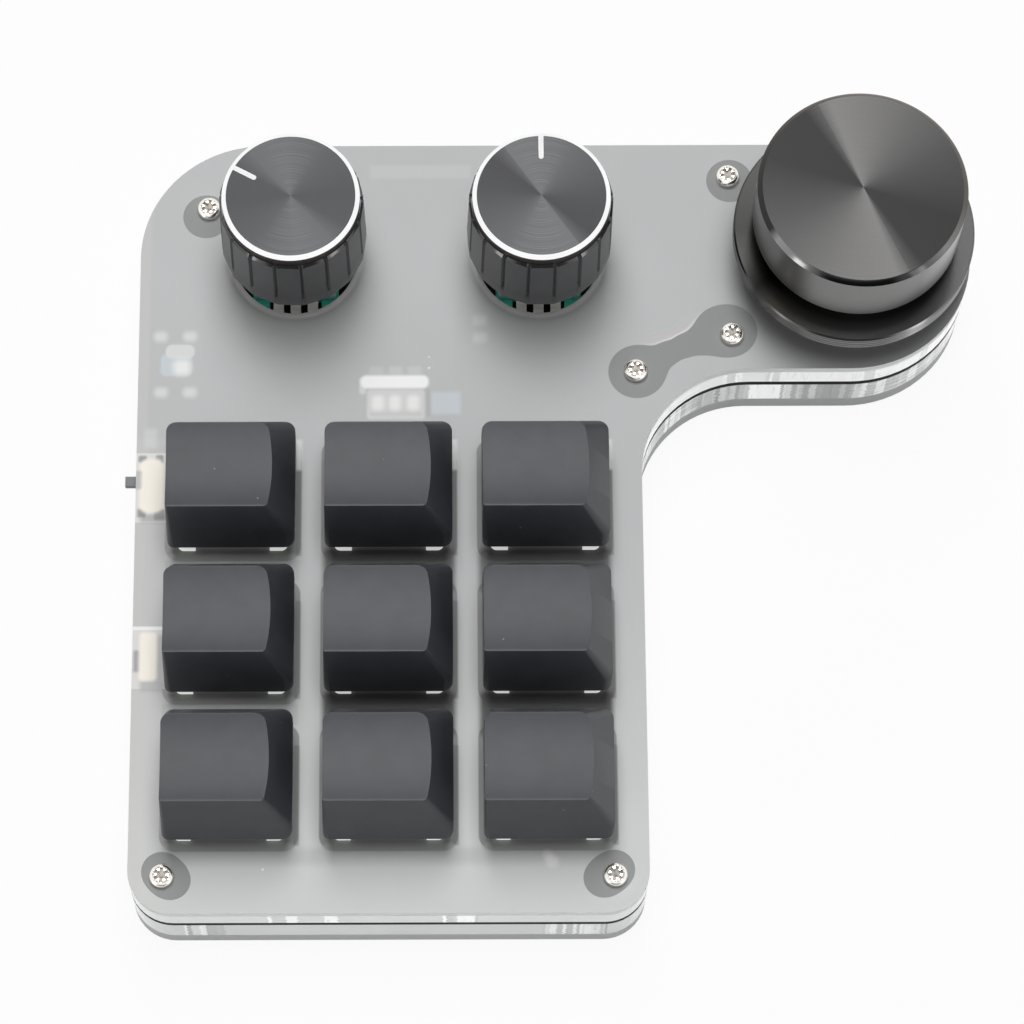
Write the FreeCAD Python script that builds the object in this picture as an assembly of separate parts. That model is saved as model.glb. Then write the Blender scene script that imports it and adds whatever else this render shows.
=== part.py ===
import math
import os

import FreeCAD
import Part

os.makedirs("parts", exist_ok=True)

# Millimetres. X to the right, Y to the rear, Z up. The origin is on the floor,
# under the middle of the whole keypad.

# Case outline
body_left_x = -59.7
body_right_x = 12.9
case_front_y = -58.2
case_rear_y = 58.2
arm_front_y = 22.7
arm_end_radius = (case_rear_y - arm_front_y) / 2
arm_mid_y = (case_rear_y + arm_front_y) / 2
arm_end_x = 43.7
inner_fillet = 16.0
front_corner = 6.2
body_mid_x = (body_left_x + body_right_x) / 2

# Layers of the case
foot_height = 1.0
bottom_plate_thick = 3.0
lower_frame_thick = 5.6
board_thick = 1.2
upper_frame_thick = 3.7
top_sheet_thick = 1.5
bottom_plate_z = foot_height
lower_frame_z = bottom_plate_z + bottom_plate_thick
board_z = lower_frame_z + lower_frame_thick
board_top_z = board_z + board_thick
top_sheet_z = board_top_z + upper_frame_thick
deck_z = top_sheet_z + top_sheet_thick
frame_wall = 3.0
boss_radius = 4.3

# Keys
key_pitch_x = 22.27
key_pitch_y = 21.36
key_first_row_y = 2.78
key_size = 18.1
keycap_height = 9.0
keycap_z = 21.05
keycap_left_inset = 0.15
keycap_right_inset = 3.33
keycap_front_inset = 2.96
keycap_rear_inset = 2.57
keycap_wall = 1.4
keycap_roof = 2.3
keycap_base_corner = 1.4
keycap_top_corner = 0.8
keycap_inner_corner = 0.9
dish_radius = 26.0
dish_depth = 0.75
well_width = 19.42
well_depth = 18.51
well_corner = 2.2
press_travel = 4.0

# Switches
flange_size = 15.6
flange_corner = 0.9
flange_thick = 0.7
flange_notch_width = 10.6
cutout_gap = 0.05
cutout_corner = 0.3
housing_size = 13.9
housing_corner = 0.8
housing_floor = 1.0
housing_wall = 1.2
housing_top_x = 10.0
housing_top_y = 10.4
housing_roof = 1.1
housing_lift = 11.6
housing_round = 1.0
peg_radius = 1.95
peg_length = 2.8
side_peg_radius = 0.82
side_peg_offset = 5.08
guide_hole_radius = 1.1
stem_width_x = 6.8
stem_width_y = 6.0
stem_gap = 0.3
stem_shoulder_lift = 11.9
stem_skirt_lift = 5.6
stem_bore_radius = 2.45
stem_bore_lift = 9.2
stem_pin_radius = 0.75
stem_pin_lift = 2.9
cross_span = 4.0
cross_thick_x = 1.3
cross_thick_y = 1.1
cross_height = 3.6
post_radius = 2.75
fit_gap = 0.02
contact_radius = 0.55
contact_a_x = -3.81
contact_a_y = 2.54
contact_b_x = 2.54
contact_b_y = 4.9
contact_top_lift = 0.6
contact_drop = 2.2
hole_gap = 0.12
socket_width = 10.4
socket_depth = 4.6
socket_height = 1.8
socket_mid_x = -0.6
socket_mid_y = 4.3
socket_gap = 0.05

# Knob encoders
encoder_rear_inset = 17.7
encoder_first_inset = 22.6
encoder_spacing = 35.5
encoder_y = case_rear_y - encoder_rear_inset
encoder_first_x = body_left_x + encoder_first_inset
encoder_x = (encoder_first_x, encoder_first_x + encoder_spacing, arm_end_x)
knob_hole_radius = 9.0
encoder_width = 12.4
encoder_depth = 12.8
encoder_base_height = 2.4
encoder_notch_width = 7.6
encoder_notch_depth = 1.3
cover_width = 11.8
cover_depth = 11.4
cover_height = 6.6
cover_wall = 0.5
cover_gap = 0.05
bushing_radius = 3.5
bushing_height = 6.9
shaft_radius = 2.98
shaft_gap = 0.08
shaft_flat = 1.5
shaft_bottom_lift = 1.6
shaft_top_lift = 24.2
rotor_radius = 4.6
rotor_lift = 3.4
rotor_thick = 1.6
rotor_hole_gap = 0.08
base_hole_radius = 3.5
push_travel = 0.5
terminal_width = 1.5
terminal_thick = 0.35
terminal_pitch = 2.5
terminal_reach = 1.5
terminal_drop = 2.2

# Small knobs
small_knob_z = 22.35
small_knob_radius = 10.5
small_knob_shoulder_radius = 10.3
small_knob_shoulder_z = 35.3
small_knob_rim_z = 35.9
small_knob_rim_radius = 9.95
knob_disc_radius = 9.79
knob_disc_top_z = 37.85
knob_disc_bevel = 0.55
knob_disc_thick = 2.4
groove_count = 17
groove_width = 0.55
groove_depth = 0.4
groove_end = 2.6
bushing_room_radius = 4.3
bushing_room_height = 4.2
bore_gap = 0.01

# Large knob
large_knob_z = 22.55
large_flange_radius = 17.37
large_flange_height = 2.95
large_flange_bevel = 0.35
large_waist_radius = 12.6
large_top_radius = 14.88
large_top_z = 40.2
large_top_bevel = 0.7
large_drum_z = 29.2
set_screw_radius = 1.5
set_screw_length = 5.0
set_screw_z = 27.4
set_screw_gap = 0.02

# Screws, nuts and feet
screw_corner_inset_x = 9.9
screw_corner_inset_y = 10.2
screw_arm_reach = 13.45
screw_arm_inset = 5.25
screw_inner_inset_x = 0.6
screw_inner_inset_y = 0.4
screw_side_inset = 4.8
screw_front_inset = 5.3
screw_places = (
    (body_left_x + screw_corner_inset_x, case_rear_y - screw_corner_inset_y),
    (body_right_x + screw_arm_reach, case_rear_y - screw_arm_inset),
    (body_right_x + screw_arm_reach, arm_front_y + screw_arm_inset),
    (body_right_x - screw_inner_inset_x, arm_front_y - screw_inner_inset_y),
    (body_left_x + screw_side_inset, case_front_y + screw_front_inset),
    (body_right_x - screw_side_inset, case_front_y + screw_front_inset),
)
screw_radius = 1.0
screw_hole_gap = 0.1
screw_head_radius = 1.75
screw_head_height = 1.15
screw_head_crown = 0.35
recess_width = 0.45
recess_span = 1.9
recess_depth = 0.6
nut_sides = 6
nut_across = 4.0
nut_thick = 1.6
nut_pocket_gap = 0.1
nut_recess = 0.3
screw_tip_z = 1.5
foot_radius = 4.0
foot_side_inset = 7.7
foot_front_inset = 13.2
foot_corner_inset_x = 11.2
foot_corner_inset_y = 18.2
foot_arm_reach = 6.8
foot_places = (
    (body_left_x + foot_side_inset, case_front_y + foot_front_inset),
    (body_right_x - foot_side_inset, case_front_y + foot_front_inset),
    (body_left_x + foot_corner_inset_x, case_rear_y - foot_corner_inset_y),
    (arm_end_x + foot_arm_reach, arm_mid_y),
)

# Slide switch at the left edge
slide_mid_y = 5.5
slide_body_length = 8.0
slide_body_width = 3.3
slide_body_height = 3.3
slide_set_back = 0.8
slide_body_left_x = body_left_x + slide_set_back
slide_shell_wall = 0.25
slide_slot_depth = 1.0
slide_slot_length = 4.6
slide_slot_height = 1.5
slide_slot_lift = 1.1
slider_width = 1.4
slider_height = 1.1
slider_reach = 1.75
slider_tip_x = body_left_x - slider_reach
slider_rest = 1.15
slider_travel = 2.0
slider_gap = 0.15
notch_depth = 4.6
slide_notch_front_y = -0.45
slide_notch_rear_y = 9.95

# Push button at the left edge
side_mid_y = -20.6
side_body_length = 7.5
side_body_width = 2.6
side_body_height = 3.3
side_set_back = 1.0
side_body_left_x = body_left_x + side_set_back
side_slot_length = 3.9
side_slot_height = 1.9
side_slot_depth = 1.6
side_slot_lift = 0.8
plunger_length = 3.4
plunger_height = 1.4
plunger_set_back = 0.05
plunger_tip_x = body_left_x + plunger_set_back
plunger_inner_gap = 0.45
plunger_travel = 0.3
side_notch_front_y = -25.6
side_notch_rear_y = -16.4

# Parts on the board
tact_inset = 5.7
tact_x = body_left_x + tact_inset
tact_y = 26.2
tact_width = 4.6
tact_depth = 5.0
tact_height = 1.6
tact_button_radius = 1.2
tact_button_height = 0.6
tact_pad_x = 2.1
tact_pad_y = 4.4
tact_pad_width = 1.0
tact_pad_depth = 1.3
tact_pad_height = 0.25
connector_x = -22.7
connector_y = 20.4
connector_width = 10.2
connector_depth = 6.0
connector_height = 2.4
connector_slot_width = 7.6
connector_slot_height = 1.4
connector_slot_depth = 3.4
connector_slot_lift = 0.5
chip_x = -15.1
chip_y = 19.6
chip_width = 3.2
chip_depth = 3.2
chip_height = 0.9
small_part_x = -10.1
small_part_y = 32.3
small_part_width = 1.4
small_part_depth = 3.6
small_part_height = 0.8
pocket_gap = 0.35

# Hidden parts
controller_x = -2.6
controller_y = 18.2
controller_width = 15.0
controller_depth = 6.4
controller_height = 2.2
battery_inset = 20.7
battery_gap = 0.3
battery_width = 46.0
battery_depth = 19.6
battery_height = 2.6
battery_corner = 2.4
battery_lift = 0.05
usb_x = -19.3
usb_width = 8.94
usb_height = 3.2
usb_length = 7.3
usb_wall = 0.3
usb_corner = 1.3
usb_set_back = 0.3
usb_gap = 0.1
tongue_width = 6.7
tongue_height = 0.7
tongue_length = 5.0
tongue_root = 1.0

UP = FreeCAD.Vector(0, 0, 1)


def vec(x, y, z=0.0):
    return FreeCAD.Vector(x, y, z)


def box(mid_x, mid_y, low_z, width, depth, height):
    corner = vec(mid_x - width / 2, mid_y - depth / 2, low_z)
    return Part.makeBox(width, depth, height, corner)


def disc(mid_x, mid_y, low_z, radius, height):
    return Part.makeCylinder(radius, height, vec(mid_x, mid_y, low_z), UP)


def rounded_wire(mid_x, mid_y, z, width, depth, corner):
    left = mid_x - width / 2
    right = mid_x + width / 2
    front = mid_y - depth / 2
    rear = mid_y + depth / 2
    bend = corner * (1 - math.sqrt(0.5))
    edges = [
        Part.makeLine(vec(left + corner, front, z), vec(right - corner, front, z)),
        Part.Arc(
            vec(right - corner, front, z),
            vec(right - bend, front + bend, z),
            vec(right, front + corner, z),
        ).toShape(),
        Part.makeLine(vec(right, front + corner, z), vec(right, rear - corner, z)),
        Part.Arc(
            vec(right, rear - corner, z),
            vec(right - bend, rear - bend, z),
            vec(right - corner, rear, z),
        ).toShape(),
        Part.makeLine(vec(right - corner, rear, z), vec(left + corner, rear, z)),
        Part.Arc(
            vec(left + corner, rear, z),
            vec(left + bend, rear - bend, z),
            vec(left, rear - corner, z),
        ).toShape(),
        Part.makeLine(vec(left, rear - corner, z), vec(left, front + corner, z)),
        Part.Arc(
            vec(left, front + corner, z),
            vec(left + bend, front + bend, z),
            vec(left + corner, front, z),
        ).toShape(),
    ]
    return Part.Wire(edges)


def rounded_box(mid_x, mid_y, low_z, width, depth, height, corner):
    face = Part.Face(rounded_wire(mid_x, mid_y, low_z, width, depth, corner))
    return face.extrude(vec(0, 0, height))


def revolve(profile, mid_x, mid_y):
    points = [vec(radius, 0, z) for radius, z in profile]
    points.append(points[0])
    face = Part.Face(Part.makePolygon(points))
    solid = face.revolve(vec(0, 0, 0), UP, 360)
    solid.translate(vec(mid_x, mid_y, 0))
    return solid


def arc_edge(mid_x, mid_y, radius, start, end, z):
    points = []
    for angle in (start, (start + end) / 2, end):
        turn = math.radians(angle)
        points.append(vec(mid_x + radius * math.cos(turn), mid_y + radius * math.sin(turn), z))
    return Part.Arc(points[0], points[1], points[2]).toShape()


def case_outline(z, inset):
    left = body_left_x + inset
    right = body_right_x - inset
    front = case_front_y + inset
    rear = case_rear_y - inset
    arm_front = arm_front_y + inset
    corner = front_corner - inset
    big = arm_end_radius - inset
    inner = inner_fillet + inset
    inner_x = right + inner
    inner_y = arm_front - inner
    corner_x = body_left_x + arm_end_radius
    left_x = body_left_x + front_corner
    right_x = body_right_x - front_corner
    corner_y = case_front_y + front_corner
    edges = [
        Part.makeLine(vec(left_x, front, z), vec(right_x, front, z)),
        arc_edge(right_x, corner_y, corner, -90, 0, z),
        Part.makeLine(vec(right, corner_y, z), vec(right, inner_y, z)),
        arc_edge(inner_x, inner_y, inner, 180, 90, z),
        Part.makeLine(vec(inner_x, arm_front, z), vec(arm_end_x, arm_front, z)),
        arc_edge(arm_end_x, arm_mid_y, big, -90, 90, z),
        Part.makeLine(vec(arm_end_x, rear, z), vec(corner_x, rear, z)),
        arc_edge(corner_x, arm_mid_y, big, 90, 180, z),
        Part.makeLine(vec(left, arm_mid_y, z), vec(left, corner_y, z)),
        arc_edge(left_x, corner_y, corner, 180, 270, z),
    ]
    return Part.Wire(edges)


def case_slab(low_z, height, inset=0.0):
    return Part.Face(case_outline(low_z, inset)).extrude(vec(0, 0, height))


def cut_all(shape, tools):
    return shape.cut(Part.makeCompound(tools))


def save(name, shape):
    shape.exportStep("parts/" + name + ".step")


def copies(shape, places):
    made = []
    for x, y in places:
        one = shape.copy()
        one.translate(vec(x, y, 0))
        made.append(one)
    return made


key_places = []
for row in range(3):
    for column in range(3):
        key_x = body_mid_x + (column - 1) * key_pitch_x
        key_y = key_first_row_y - row * key_pitch_y
        key_places.append((key_x, key_y))

encoder_places = [(x, encoder_y) for x in encoder_x]
terminal_offsets = (-terminal_pitch, 0, terminal_pitch)

# Screw holes go through every layer of the case
hole_radius = screw_radius + screw_hole_gap


def screw_holes(low_z, height):
    return [disc(x, y, low_z, hole_radius, height) for x, y in screw_places]


# Bottom plate with a six-sided pocket under each screw
bottom_plate = case_slab(bottom_plate_z, bottom_plate_thick)
pocket_across = nut_across + 2 * nut_pocket_gap
nut_share = 1 / (2 * math.cos(math.pi / nut_sides))
pocket_radius = pocket_across * nut_share
pocket_depth = nut_thick + nut_recess


def hexagon(low_z, radius, height):
    points = []
    for step in range(nut_sides + 1):
        turn = 2 * math.pi * step / nut_sides
        points.append(vec(radius * math.cos(turn), radius * math.sin(turn), low_z))
    return Part.Face(Part.makePolygon(points)).extrude(vec(0, 0, height))


pockets = copies(hexagon(bottom_plate_z, pocket_radius, pocket_depth), screw_places)
bottom_plate = cut_all(bottom_plate, pockets + screw_holes(bottom_plate_z, bottom_plate_thick))
save("bottom_plate", bottom_plate)

nut = hexagon(bottom_plate_z + nut_recess, nut_across * nut_share, nut_thick)
nut = nut.cut(disc(0, 0, bottom_plate_z, screw_radius, bottom_plate_thick))
save("case_nuts", Part.makeCompound(copies(nut, screw_places)))

feet = [disc(x, y, 0, foot_radius, foot_height) for x, y in foot_places]
save("rubber_feet", Part.makeCompound(feet))

# Lower frame: a closed wall, bosses at the screws, an opening for the socket at the rear
lower_hollow = case_slab(lower_frame_z, lower_frame_thick, frame_wall)
bosses = [disc(x, y, lower_frame_z, boss_radius, lower_frame_thick) for x, y in screw_places]
lower_hollow = cut_all(lower_hollow, bosses)
lower_frame = case_slab(lower_frame_z, lower_frame_thick).cut(lower_hollow)
usb_low_z = board_z - usb_height
usb_rear_y = case_rear_y - usb_set_back
usb_room = box(
    usb_x,
    case_rear_y - frame_wall,
    usb_low_z - usb_gap,
    usb_width + 2 * usb_gap,
    2 * frame_wall + 2 * usb_gap,
    usb_height + usb_gap,
)
lower_frame = cut_all(lower_frame, [usb_room] + screw_holes(lower_frame_z, lower_frame_thick))
save("lower_frame", lower_frame)

# Circuit board with holes for switches, encoders and screws
board = case_slab(board_z, board_thick)
board_tools = screw_holes(board_z, board_thick)
for key_x, key_y in key_places:
    board_tools.append(disc(key_x, key_y, board_z, peg_radius + hole_gap, board_thick))
    for side in (-1, 1):
        peg_x = key_x + side * side_peg_offset
        board_tools.append(disc(peg_x, key_y, board_z, side_peg_radius + hole_gap, board_thick))
    for pin_x, pin_y in ((contact_a_x, contact_a_y), (contact_b_x, contact_b_y)):
        hole = disc(key_x + pin_x, key_y + pin_y, board_z, contact_radius + hole_gap, board_thick)
        board_tools.append(hole)
terminal_y = encoder_y - encoder_depth / 2 - terminal_reach / 2
for middle_x in encoder_x:
    for offset in terminal_offsets:
        slot = box(
            middle_x + offset,
            terminal_y,
            board_z,
            terminal_width + 2 * hole_gap,
            terminal_thick + 2 * hole_gap,
            board_thick,
        )
        board_tools.append(slot)
board = cut_all(board, board_tools)
save("circuit_board", board)

# Openings shared by the upper frame and the top sheet
deck_height = deck_z - board_top_z
knob_hole = disc(0, 0, board_top_z, knob_hole_radius, deck_height)
deck_tools = copies(knob_hole, encoder_places)
deck_tools += screw_holes(board_top_z, deck_height)

# Upper frame: a well round each switch, and a notch for each switch at the left edge
well = rounded_box(0, 0, board_top_z, well_width, well_depth, upper_frame_thick, well_corner)
frame_tools = deck_tools + copies(well, key_places)
for low_y, high_y in (
    (slide_notch_front_y, slide_notch_rear_y),
    (side_notch_front_y, side_notch_rear_y),
):
    frame_tools.append(
        box(
            body_left_x,
            (low_y + high_y) / 2,
            board_top_z,
            2 * notch_depth,
            high_y - low_y,
            upper_frame_thick,
        )
    )
upper_frame = cut_all(case_slab(board_top_z, upper_frame_thick), frame_tools)
board_part_rooms = [
    box(
        tact_x,
        tact_y,
        board_top_z,
        tact_width + tact_pad_width + 2 * pocket_gap,
        2 * tact_pad_y + tact_pad_depth + 2 * pocket_gap,
        upper_frame_thick,
    ),
    box(
        connector_x,
        connector_y,
        board_top_z,
        connector_width + 2 * pocket_gap,
        connector_depth + 2 * pocket_gap,
        upper_frame_thick,
    ),
    box(
        chip_x,
        chip_y,
        board_top_z,
        chip_width + 2 * pocket_gap,
        chip_depth + 2 * pocket_gap,
        upper_frame_thick,
    ),
    box(
        small_part_x,
        small_part_y,
        board_top_z,
        small_part_width + 2 * pocket_gap,
        small_part_depth + 2 * pocket_gap,
        upper_frame_thick,
    ),
]
upper_frame = cut_all(upper_frame, board_part_rooms)
save("upper_frame", upper_frame)

# Top sheet: it holds the switches, whose flanges rest on it
cutout_size = housing_size + 2 * cutout_gap
cutout = rounded_box(0, 0, top_sheet_z, cutout_size, cutout_size, top_sheet_thick, cutout_corner)
sheet_tools = deck_tools + copies(cutout, key_places)
top_sheet = cut_all(case_slab(top_sheet_z, top_sheet_thick), sheet_tools)
save("top_sheet", top_sheet)

# Case screws
screw_length = deck_z - screw_tip_z
screw = disc(0, 0, screw_tip_z, screw_radius, screw_length)
head = revolve(
    [
        (0, deck_z),
        (screw_head_radius, deck_z),
        (screw_head_radius, deck_z + screw_head_height - screw_head_crown),
        (screw_head_radius - screw_head_crown, deck_z + screw_head_height),
        (0, deck_z + screw_head_height),
    ],
    0,
    0,
)
screw = screw.fuse(head)
recess_z = deck_z + screw_head_height - recess_depth
screw = screw.cut(box(0, 0, recess_z, recess_span, recess_width, recess_depth))
screw = screw.cut(box(0, 0, recess_z, recess_width, recess_span, recess_depth))
save("case_screws", Part.makeCompound(copies(screw, screw_places)))

# Switches: lower housing with pegs, and a flange that is left away in front and behind
flange_top_z = deck_z + flange_thick
lower_housing = rounded_box(
    0, 0, board_top_z, housing_size, housing_size, flange_top_z - board_top_z, housing_corner
)
flange = rounded_box(0, 0, deck_z, flange_size, flange_size, flange_thick, flange_corner)
flange = flange.cut(box(0, 0, deck_z, flange_notch_width, 2 * flange_size, flange_thick))
lower_housing = lower_housing.fuse(flange)
inner_size = housing_size - 2 * housing_wall
floor_z = board_top_z + housing_floor
lower_housing = lower_housing.cut(
    box(0, 0, floor_z, inner_size, inner_size, flange_top_z - floor_z)
)
lower_housing = lower_housing.fuse(
    disc(0, 0, board_top_z - peg_length, peg_radius, peg_length + housing_floor)
)
for side in (-1, 1):
    lower_housing = lower_housing.fuse(
        disc(
            side * side_peg_offset,
            0,
            board_top_z - peg_length,
            side_peg_radius,
            peg_length + housing_floor / 2,
        )
    )
guide_floor_z = board_top_z - peg_length + housing_floor / 2
lower_housing = lower_housing.cut(
    disc(0, 0, guide_floor_z, guide_hole_radius, peg_length + housing_floor)
)
pin_places = ((contact_a_x, contact_a_y), (contact_b_x, contact_b_y))
pin_room_height = housing_floor + contact_top_lift + socket_gap
for pin_x, pin_y in pin_places:
    lower_housing = lower_housing.cut(
        disc(pin_x, pin_y, board_top_z, contact_radius + socket_gap, pin_room_height)
    )
save("switch_lower_housings", Part.makeCompound(copies(lower_housing, key_places)))

# Upper housing: a tapered cover with an opening for the stem
housing_top_z = board_top_z + housing_lift
outer_low = rounded_wire(0, 0, flange_top_z, housing_size, housing_size, housing_round)
outer_high = rounded_wire(0, 0, housing_top_z, housing_top_x, housing_top_y, housing_round)
upper_housing = Part.makeLoft([outer_low, outer_high], True, True)
inner_low = rounded_wire(0, 0, flange_top_z, inner_size, inner_size, housing_round / 2)
inner_high = rounded_wire(
    0,
    0,
    housing_top_z - housing_roof,
    housing_top_x - 2 * housing_wall,
    housing_top_y - 2 * housing_wall,
    housing_round / 2,
)
upper_housing = upper_housing.cut(Part.makeLoft([inner_low, inner_high], True, True))
upper_housing = upper_housing.cut(
    box(
        0,
        0,
        flange_top_z,
        stem_width_x + 2 * stem_gap,
        stem_width_y + 2 * stem_gap,
        housing_lift,
    )
)
save("switch_upper_housings", Part.makeCompound(copies(upper_housing, key_places)))

contacts = []
for pin_x, pin_y in pin_places:
    pin_z = board_top_z - contact_drop
    pin_length = contact_drop + housing_floor + contact_top_lift
    contacts.append(disc(pin_x, pin_y, pin_z, contact_radius, pin_length))
contact_pair = Part.makeCompound(contacts)
save("switch_contacts", Part.makeCompound(copies(contact_pair, key_places)))

socket = box(
    socket_mid_x, socket_mid_y, board_z - socket_height, socket_width, socket_depth, socket_height
)
socket_tools = [disc(0, 0, board_z - socket_height, peg_radius + hole_gap, socket_height)]
for pin_x, pin_y in pin_places:
    socket_tools.append(
        disc(pin_x, pin_y, board_z - socket_height, contact_radius + socket_gap, socket_height)
    )
socket = cut_all(socket, socket_tools)
save("switch_sockets", Part.makeCompound(copies(socket, key_places)))

# Stem: a hollow skirt, a guide pin and the cross for the keycap
skirt_z = board_top_z + stem_skirt_lift
shoulder_z = board_top_z + stem_shoulder_lift
stem = box(0, 0, skirt_z, stem_width_x, stem_width_y, shoulder_z - skirt_z)
stem = stem.cut(disc(0, 0, skirt_z, stem_bore_radius, stem_bore_lift - stem_skirt_lift))
pin_z = board_top_z + stem_pin_lift
stem = stem.fuse(disc(0, 0, pin_z, stem_pin_radius, shoulder_z - pin_z))
stem = stem.fuse(box(0, 0, shoulder_z, cross_span, cross_thick_y, cross_height))
stem = stem.fuse(box(0, 0, shoulder_z, cross_thick_x, cross_span, cross_height))

# Keycap: tapered to the right, with a shallow dish that runs left to right
top_width = key_size - keycap_left_inset - keycap_right_inset
top_depth = key_size - keycap_front_inset - keycap_rear_inset
top_mid_x = (keycap_left_inset - keycap_right_inset) / 2
top_mid_y = (keycap_front_inset - keycap_rear_inset) / 2
keycap_top_z = keycap_z + keycap_height
keycap = Part.makeLoft(
    [
        rounded_wire(0, 0, keycap_z, key_size, key_size, keycap_base_corner),
        rounded_wire(
            top_mid_x, top_mid_y, keycap_top_z, top_width, top_depth, keycap_top_corner
        ),
    ],
    True,
    True,
)
dish = Part.makeCylinder(
    dish_radius,
    2 * key_size,
    vec(-key_size, top_mid_y, keycap_top_z + dish_radius - dish_depth),
    vec(1, 0, 0),
)
keycap = keycap.cut(dish)
hollow_height = keycap_height - keycap_roof
hollow_share = hollow_height / keycap_height
hollow_low = key_size - 2 * keycap_wall
hollow_width = hollow_low + (top_width - key_size) * hollow_share
hollow_depth = hollow_low + (top_depth - key_size) * hollow_share
hollow = Part.makeLoft(
    [
        rounded_wire(0, 0, keycap_z, hollow_low, hollow_low, keycap_inner_corner),
        rounded_wire(
            top_mid_x * hollow_share,
            top_mid_y * hollow_share,
            keycap_z + hollow_height,
            hollow_width,
            hollow_depth,
            keycap_inner_corner,
        ),
    ],
    True,
    True,
)
keycap = keycap.cut(hollow)
post_z = shoulder_z + fit_gap
keycap = keycap.fuse(disc(0, 0, post_z, post_radius, keycap_z + hollow_height - post_z))
socket_height_z = cross_height + fit_gap
keycap = keycap.cut(
    box(0, 0, post_z, cross_span + 2 * fit_gap, cross_thick_y + 2 * fit_gap, socket_height_z)
)
keycap = keycap.cut(
    box(0, 0, post_z, cross_thick_x + 2 * fit_gap, cross_span + 2 * fit_gap, socket_height_z)
)
for index, place in enumerate(key_places):
    label = "r" + str(index // 3 + 1) + "c" + str(index % 3 + 1)
    save("keycap_" + label, copies(keycap, [place])[0])
    save("stem_" + label, copies(stem, [place])[0])

# Encoders
base = box(0, 0, board_top_z, encoder_width, encoder_depth, encoder_base_height)
notch_y = -encoder_depth / 2
base = base.cut(
    box(0, notch_y, board_top_z, encoder_notch_width, 2 * encoder_notch_depth, encoder_base_height)
)
base = base.cut(
    disc(0, 0, board_top_z + shaft_bottom_lift - push_travel - shaft_gap, base_hole_radius,
         encoder_base_height)
)
save("encoder_bases", Part.makeCompound(copies(base, encoder_places)))

cover_z = board_top_z + encoder_base_height + cover_gap
cover_top_z = board_top_z + cover_height
cover = box(0, 0, cover_z, cover_width, cover_depth, cover_top_z - cover_z)
cover = cover.cut(
    box(
        0,
        0,
        cover_z,
        cover_width - 2 * cover_wall,
        cover_depth - 2 * cover_wall,
        cover_top_z - cover_z - cover_wall,
    )
)
cover = cover.fuse(disc(0, 0, cover_top_z - cover_wall, bushing_radius,
                        bushing_height + cover_wall))
cover = cover.cut(
    disc(0, 0, cover_top_z - cover_wall, shaft_radius + shaft_gap, bushing_height + cover_wall)
)
save("encoder_covers", Part.makeCompound(copies(cover, encoder_places)))

terminals = []
front_face_y = -cover_depth / 2
blade_y = -encoder_depth / 2 - terminal_reach / 2
blade_low_z = board_top_z - terminal_drop
shelf_z = board_top_z + encoder_base_height - terminal_thick
for offset in terminal_offsets:
    shelf_rear = -encoder_depth / 2 + encoder_notch_depth - cover_gap
    shelf_front = blade_y - terminal_thick / 2
    shelf = box(
        offset,
        (shelf_rear + shelf_front) / 2,
        shelf_z,
        terminal_width,
        shelf_rear - shelf_front,
        terminal_thick,
    )
    blade = box(
        offset, blade_y, blade_low_z, terminal_width, terminal_thick, shelf_z - blade_low_z
    )
    terminals.append(shelf.fuse(blade))
terminal_set = Part.makeCompound(terminals)
save("encoder_terminals", Part.makeCompound(copies(terminal_set, encoder_places)))


def flatted(radius, low_z, height, flat):
    round_bar = disc(0, 0, low_z, radius, height)
    slab = box(0, flat + radius, low_z, 4 * radius, 2 * radius, height)
    return round_bar.cut(slab)


shaft_low_z = board_top_z + shaft_bottom_lift
shaft_high_z = board_top_z + shaft_top_lift
shaft = flatted(shaft_radius, shaft_low_z, shaft_high_z - shaft_low_z, shaft_flat)
rotor_z = board_top_z + rotor_lift
rotor = disc(0, 0, rotor_z, rotor_radius, rotor_thick)
rotor = rotor.cut(
    flatted(shaft_radius + rotor_hole_gap, rotor_z, rotor_thick, shaft_flat + rotor_hole_gap)
)
for index, place in enumerate(encoder_places):
    save("encoder_rotor_" + str(index + 1), copies(rotor, [place])[0])
    save("encoder_shaft_" + str(index + 1), copies(shaft, [place])[0])

# Small knobs: fluted body with a metal disc let into the top
disc_seat_z = knob_disc_top_z - knob_disc_thick
knob_body = revolve(
    [
        (0, small_knob_z),
        (small_knob_radius, small_knob_z),
        (small_knob_shoulder_radius, small_knob_shoulder_z),
        (small_knob_rim_radius, small_knob_rim_z),
        (0, small_knob_rim_z),
    ],
    0,
    0,
)
knob_body = knob_body.cut(
    disc(0, 0, disc_seat_z, knob_disc_radius, knob_disc_top_z - disc_seat_z)
)
knob_body = knob_body.cut(
    disc(0, 0, small_knob_z, bushing_room_radius, bushing_room_height)
)
knob_bore = flatted(
    shaft_radius + bore_gap, small_knob_z, shaft_high_z - small_knob_z, shaft_flat + bore_gap
)
knob_body = knob_body.cut(knob_bore)
grooves = []
for step in range(groove_count):
    groove = box(
        0,
        small_knob_radius,
        small_knob_z + groove_end,
        groove_width,
        2 * groove_depth,
        small_knob_rim_z - small_knob_z,
    )
    groove.rotate(vec(0, 0), UP, 360 * step / groove_count)
    grooves.append(groove)
knob_body = cut_all(knob_body, grooves)
knob_disc = revolve(
    [
        (0, disc_seat_z),
        (knob_disc_radius, disc_seat_z),
        (knob_disc_radius, knob_disc_top_z - knob_disc_bevel),
        (knob_disc_radius - knob_disc_bevel, knob_disc_top_z),
        (0, knob_disc_top_z),
    ],
    0,
    0,
)
for index, place in enumerate(encoder_places[:2]):
    save("knob_body_" + str(index + 1), copies(knob_body, [place])[0])
    save("knob_disc_" + str(index + 1), copies(knob_disc, [place])[0])

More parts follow.
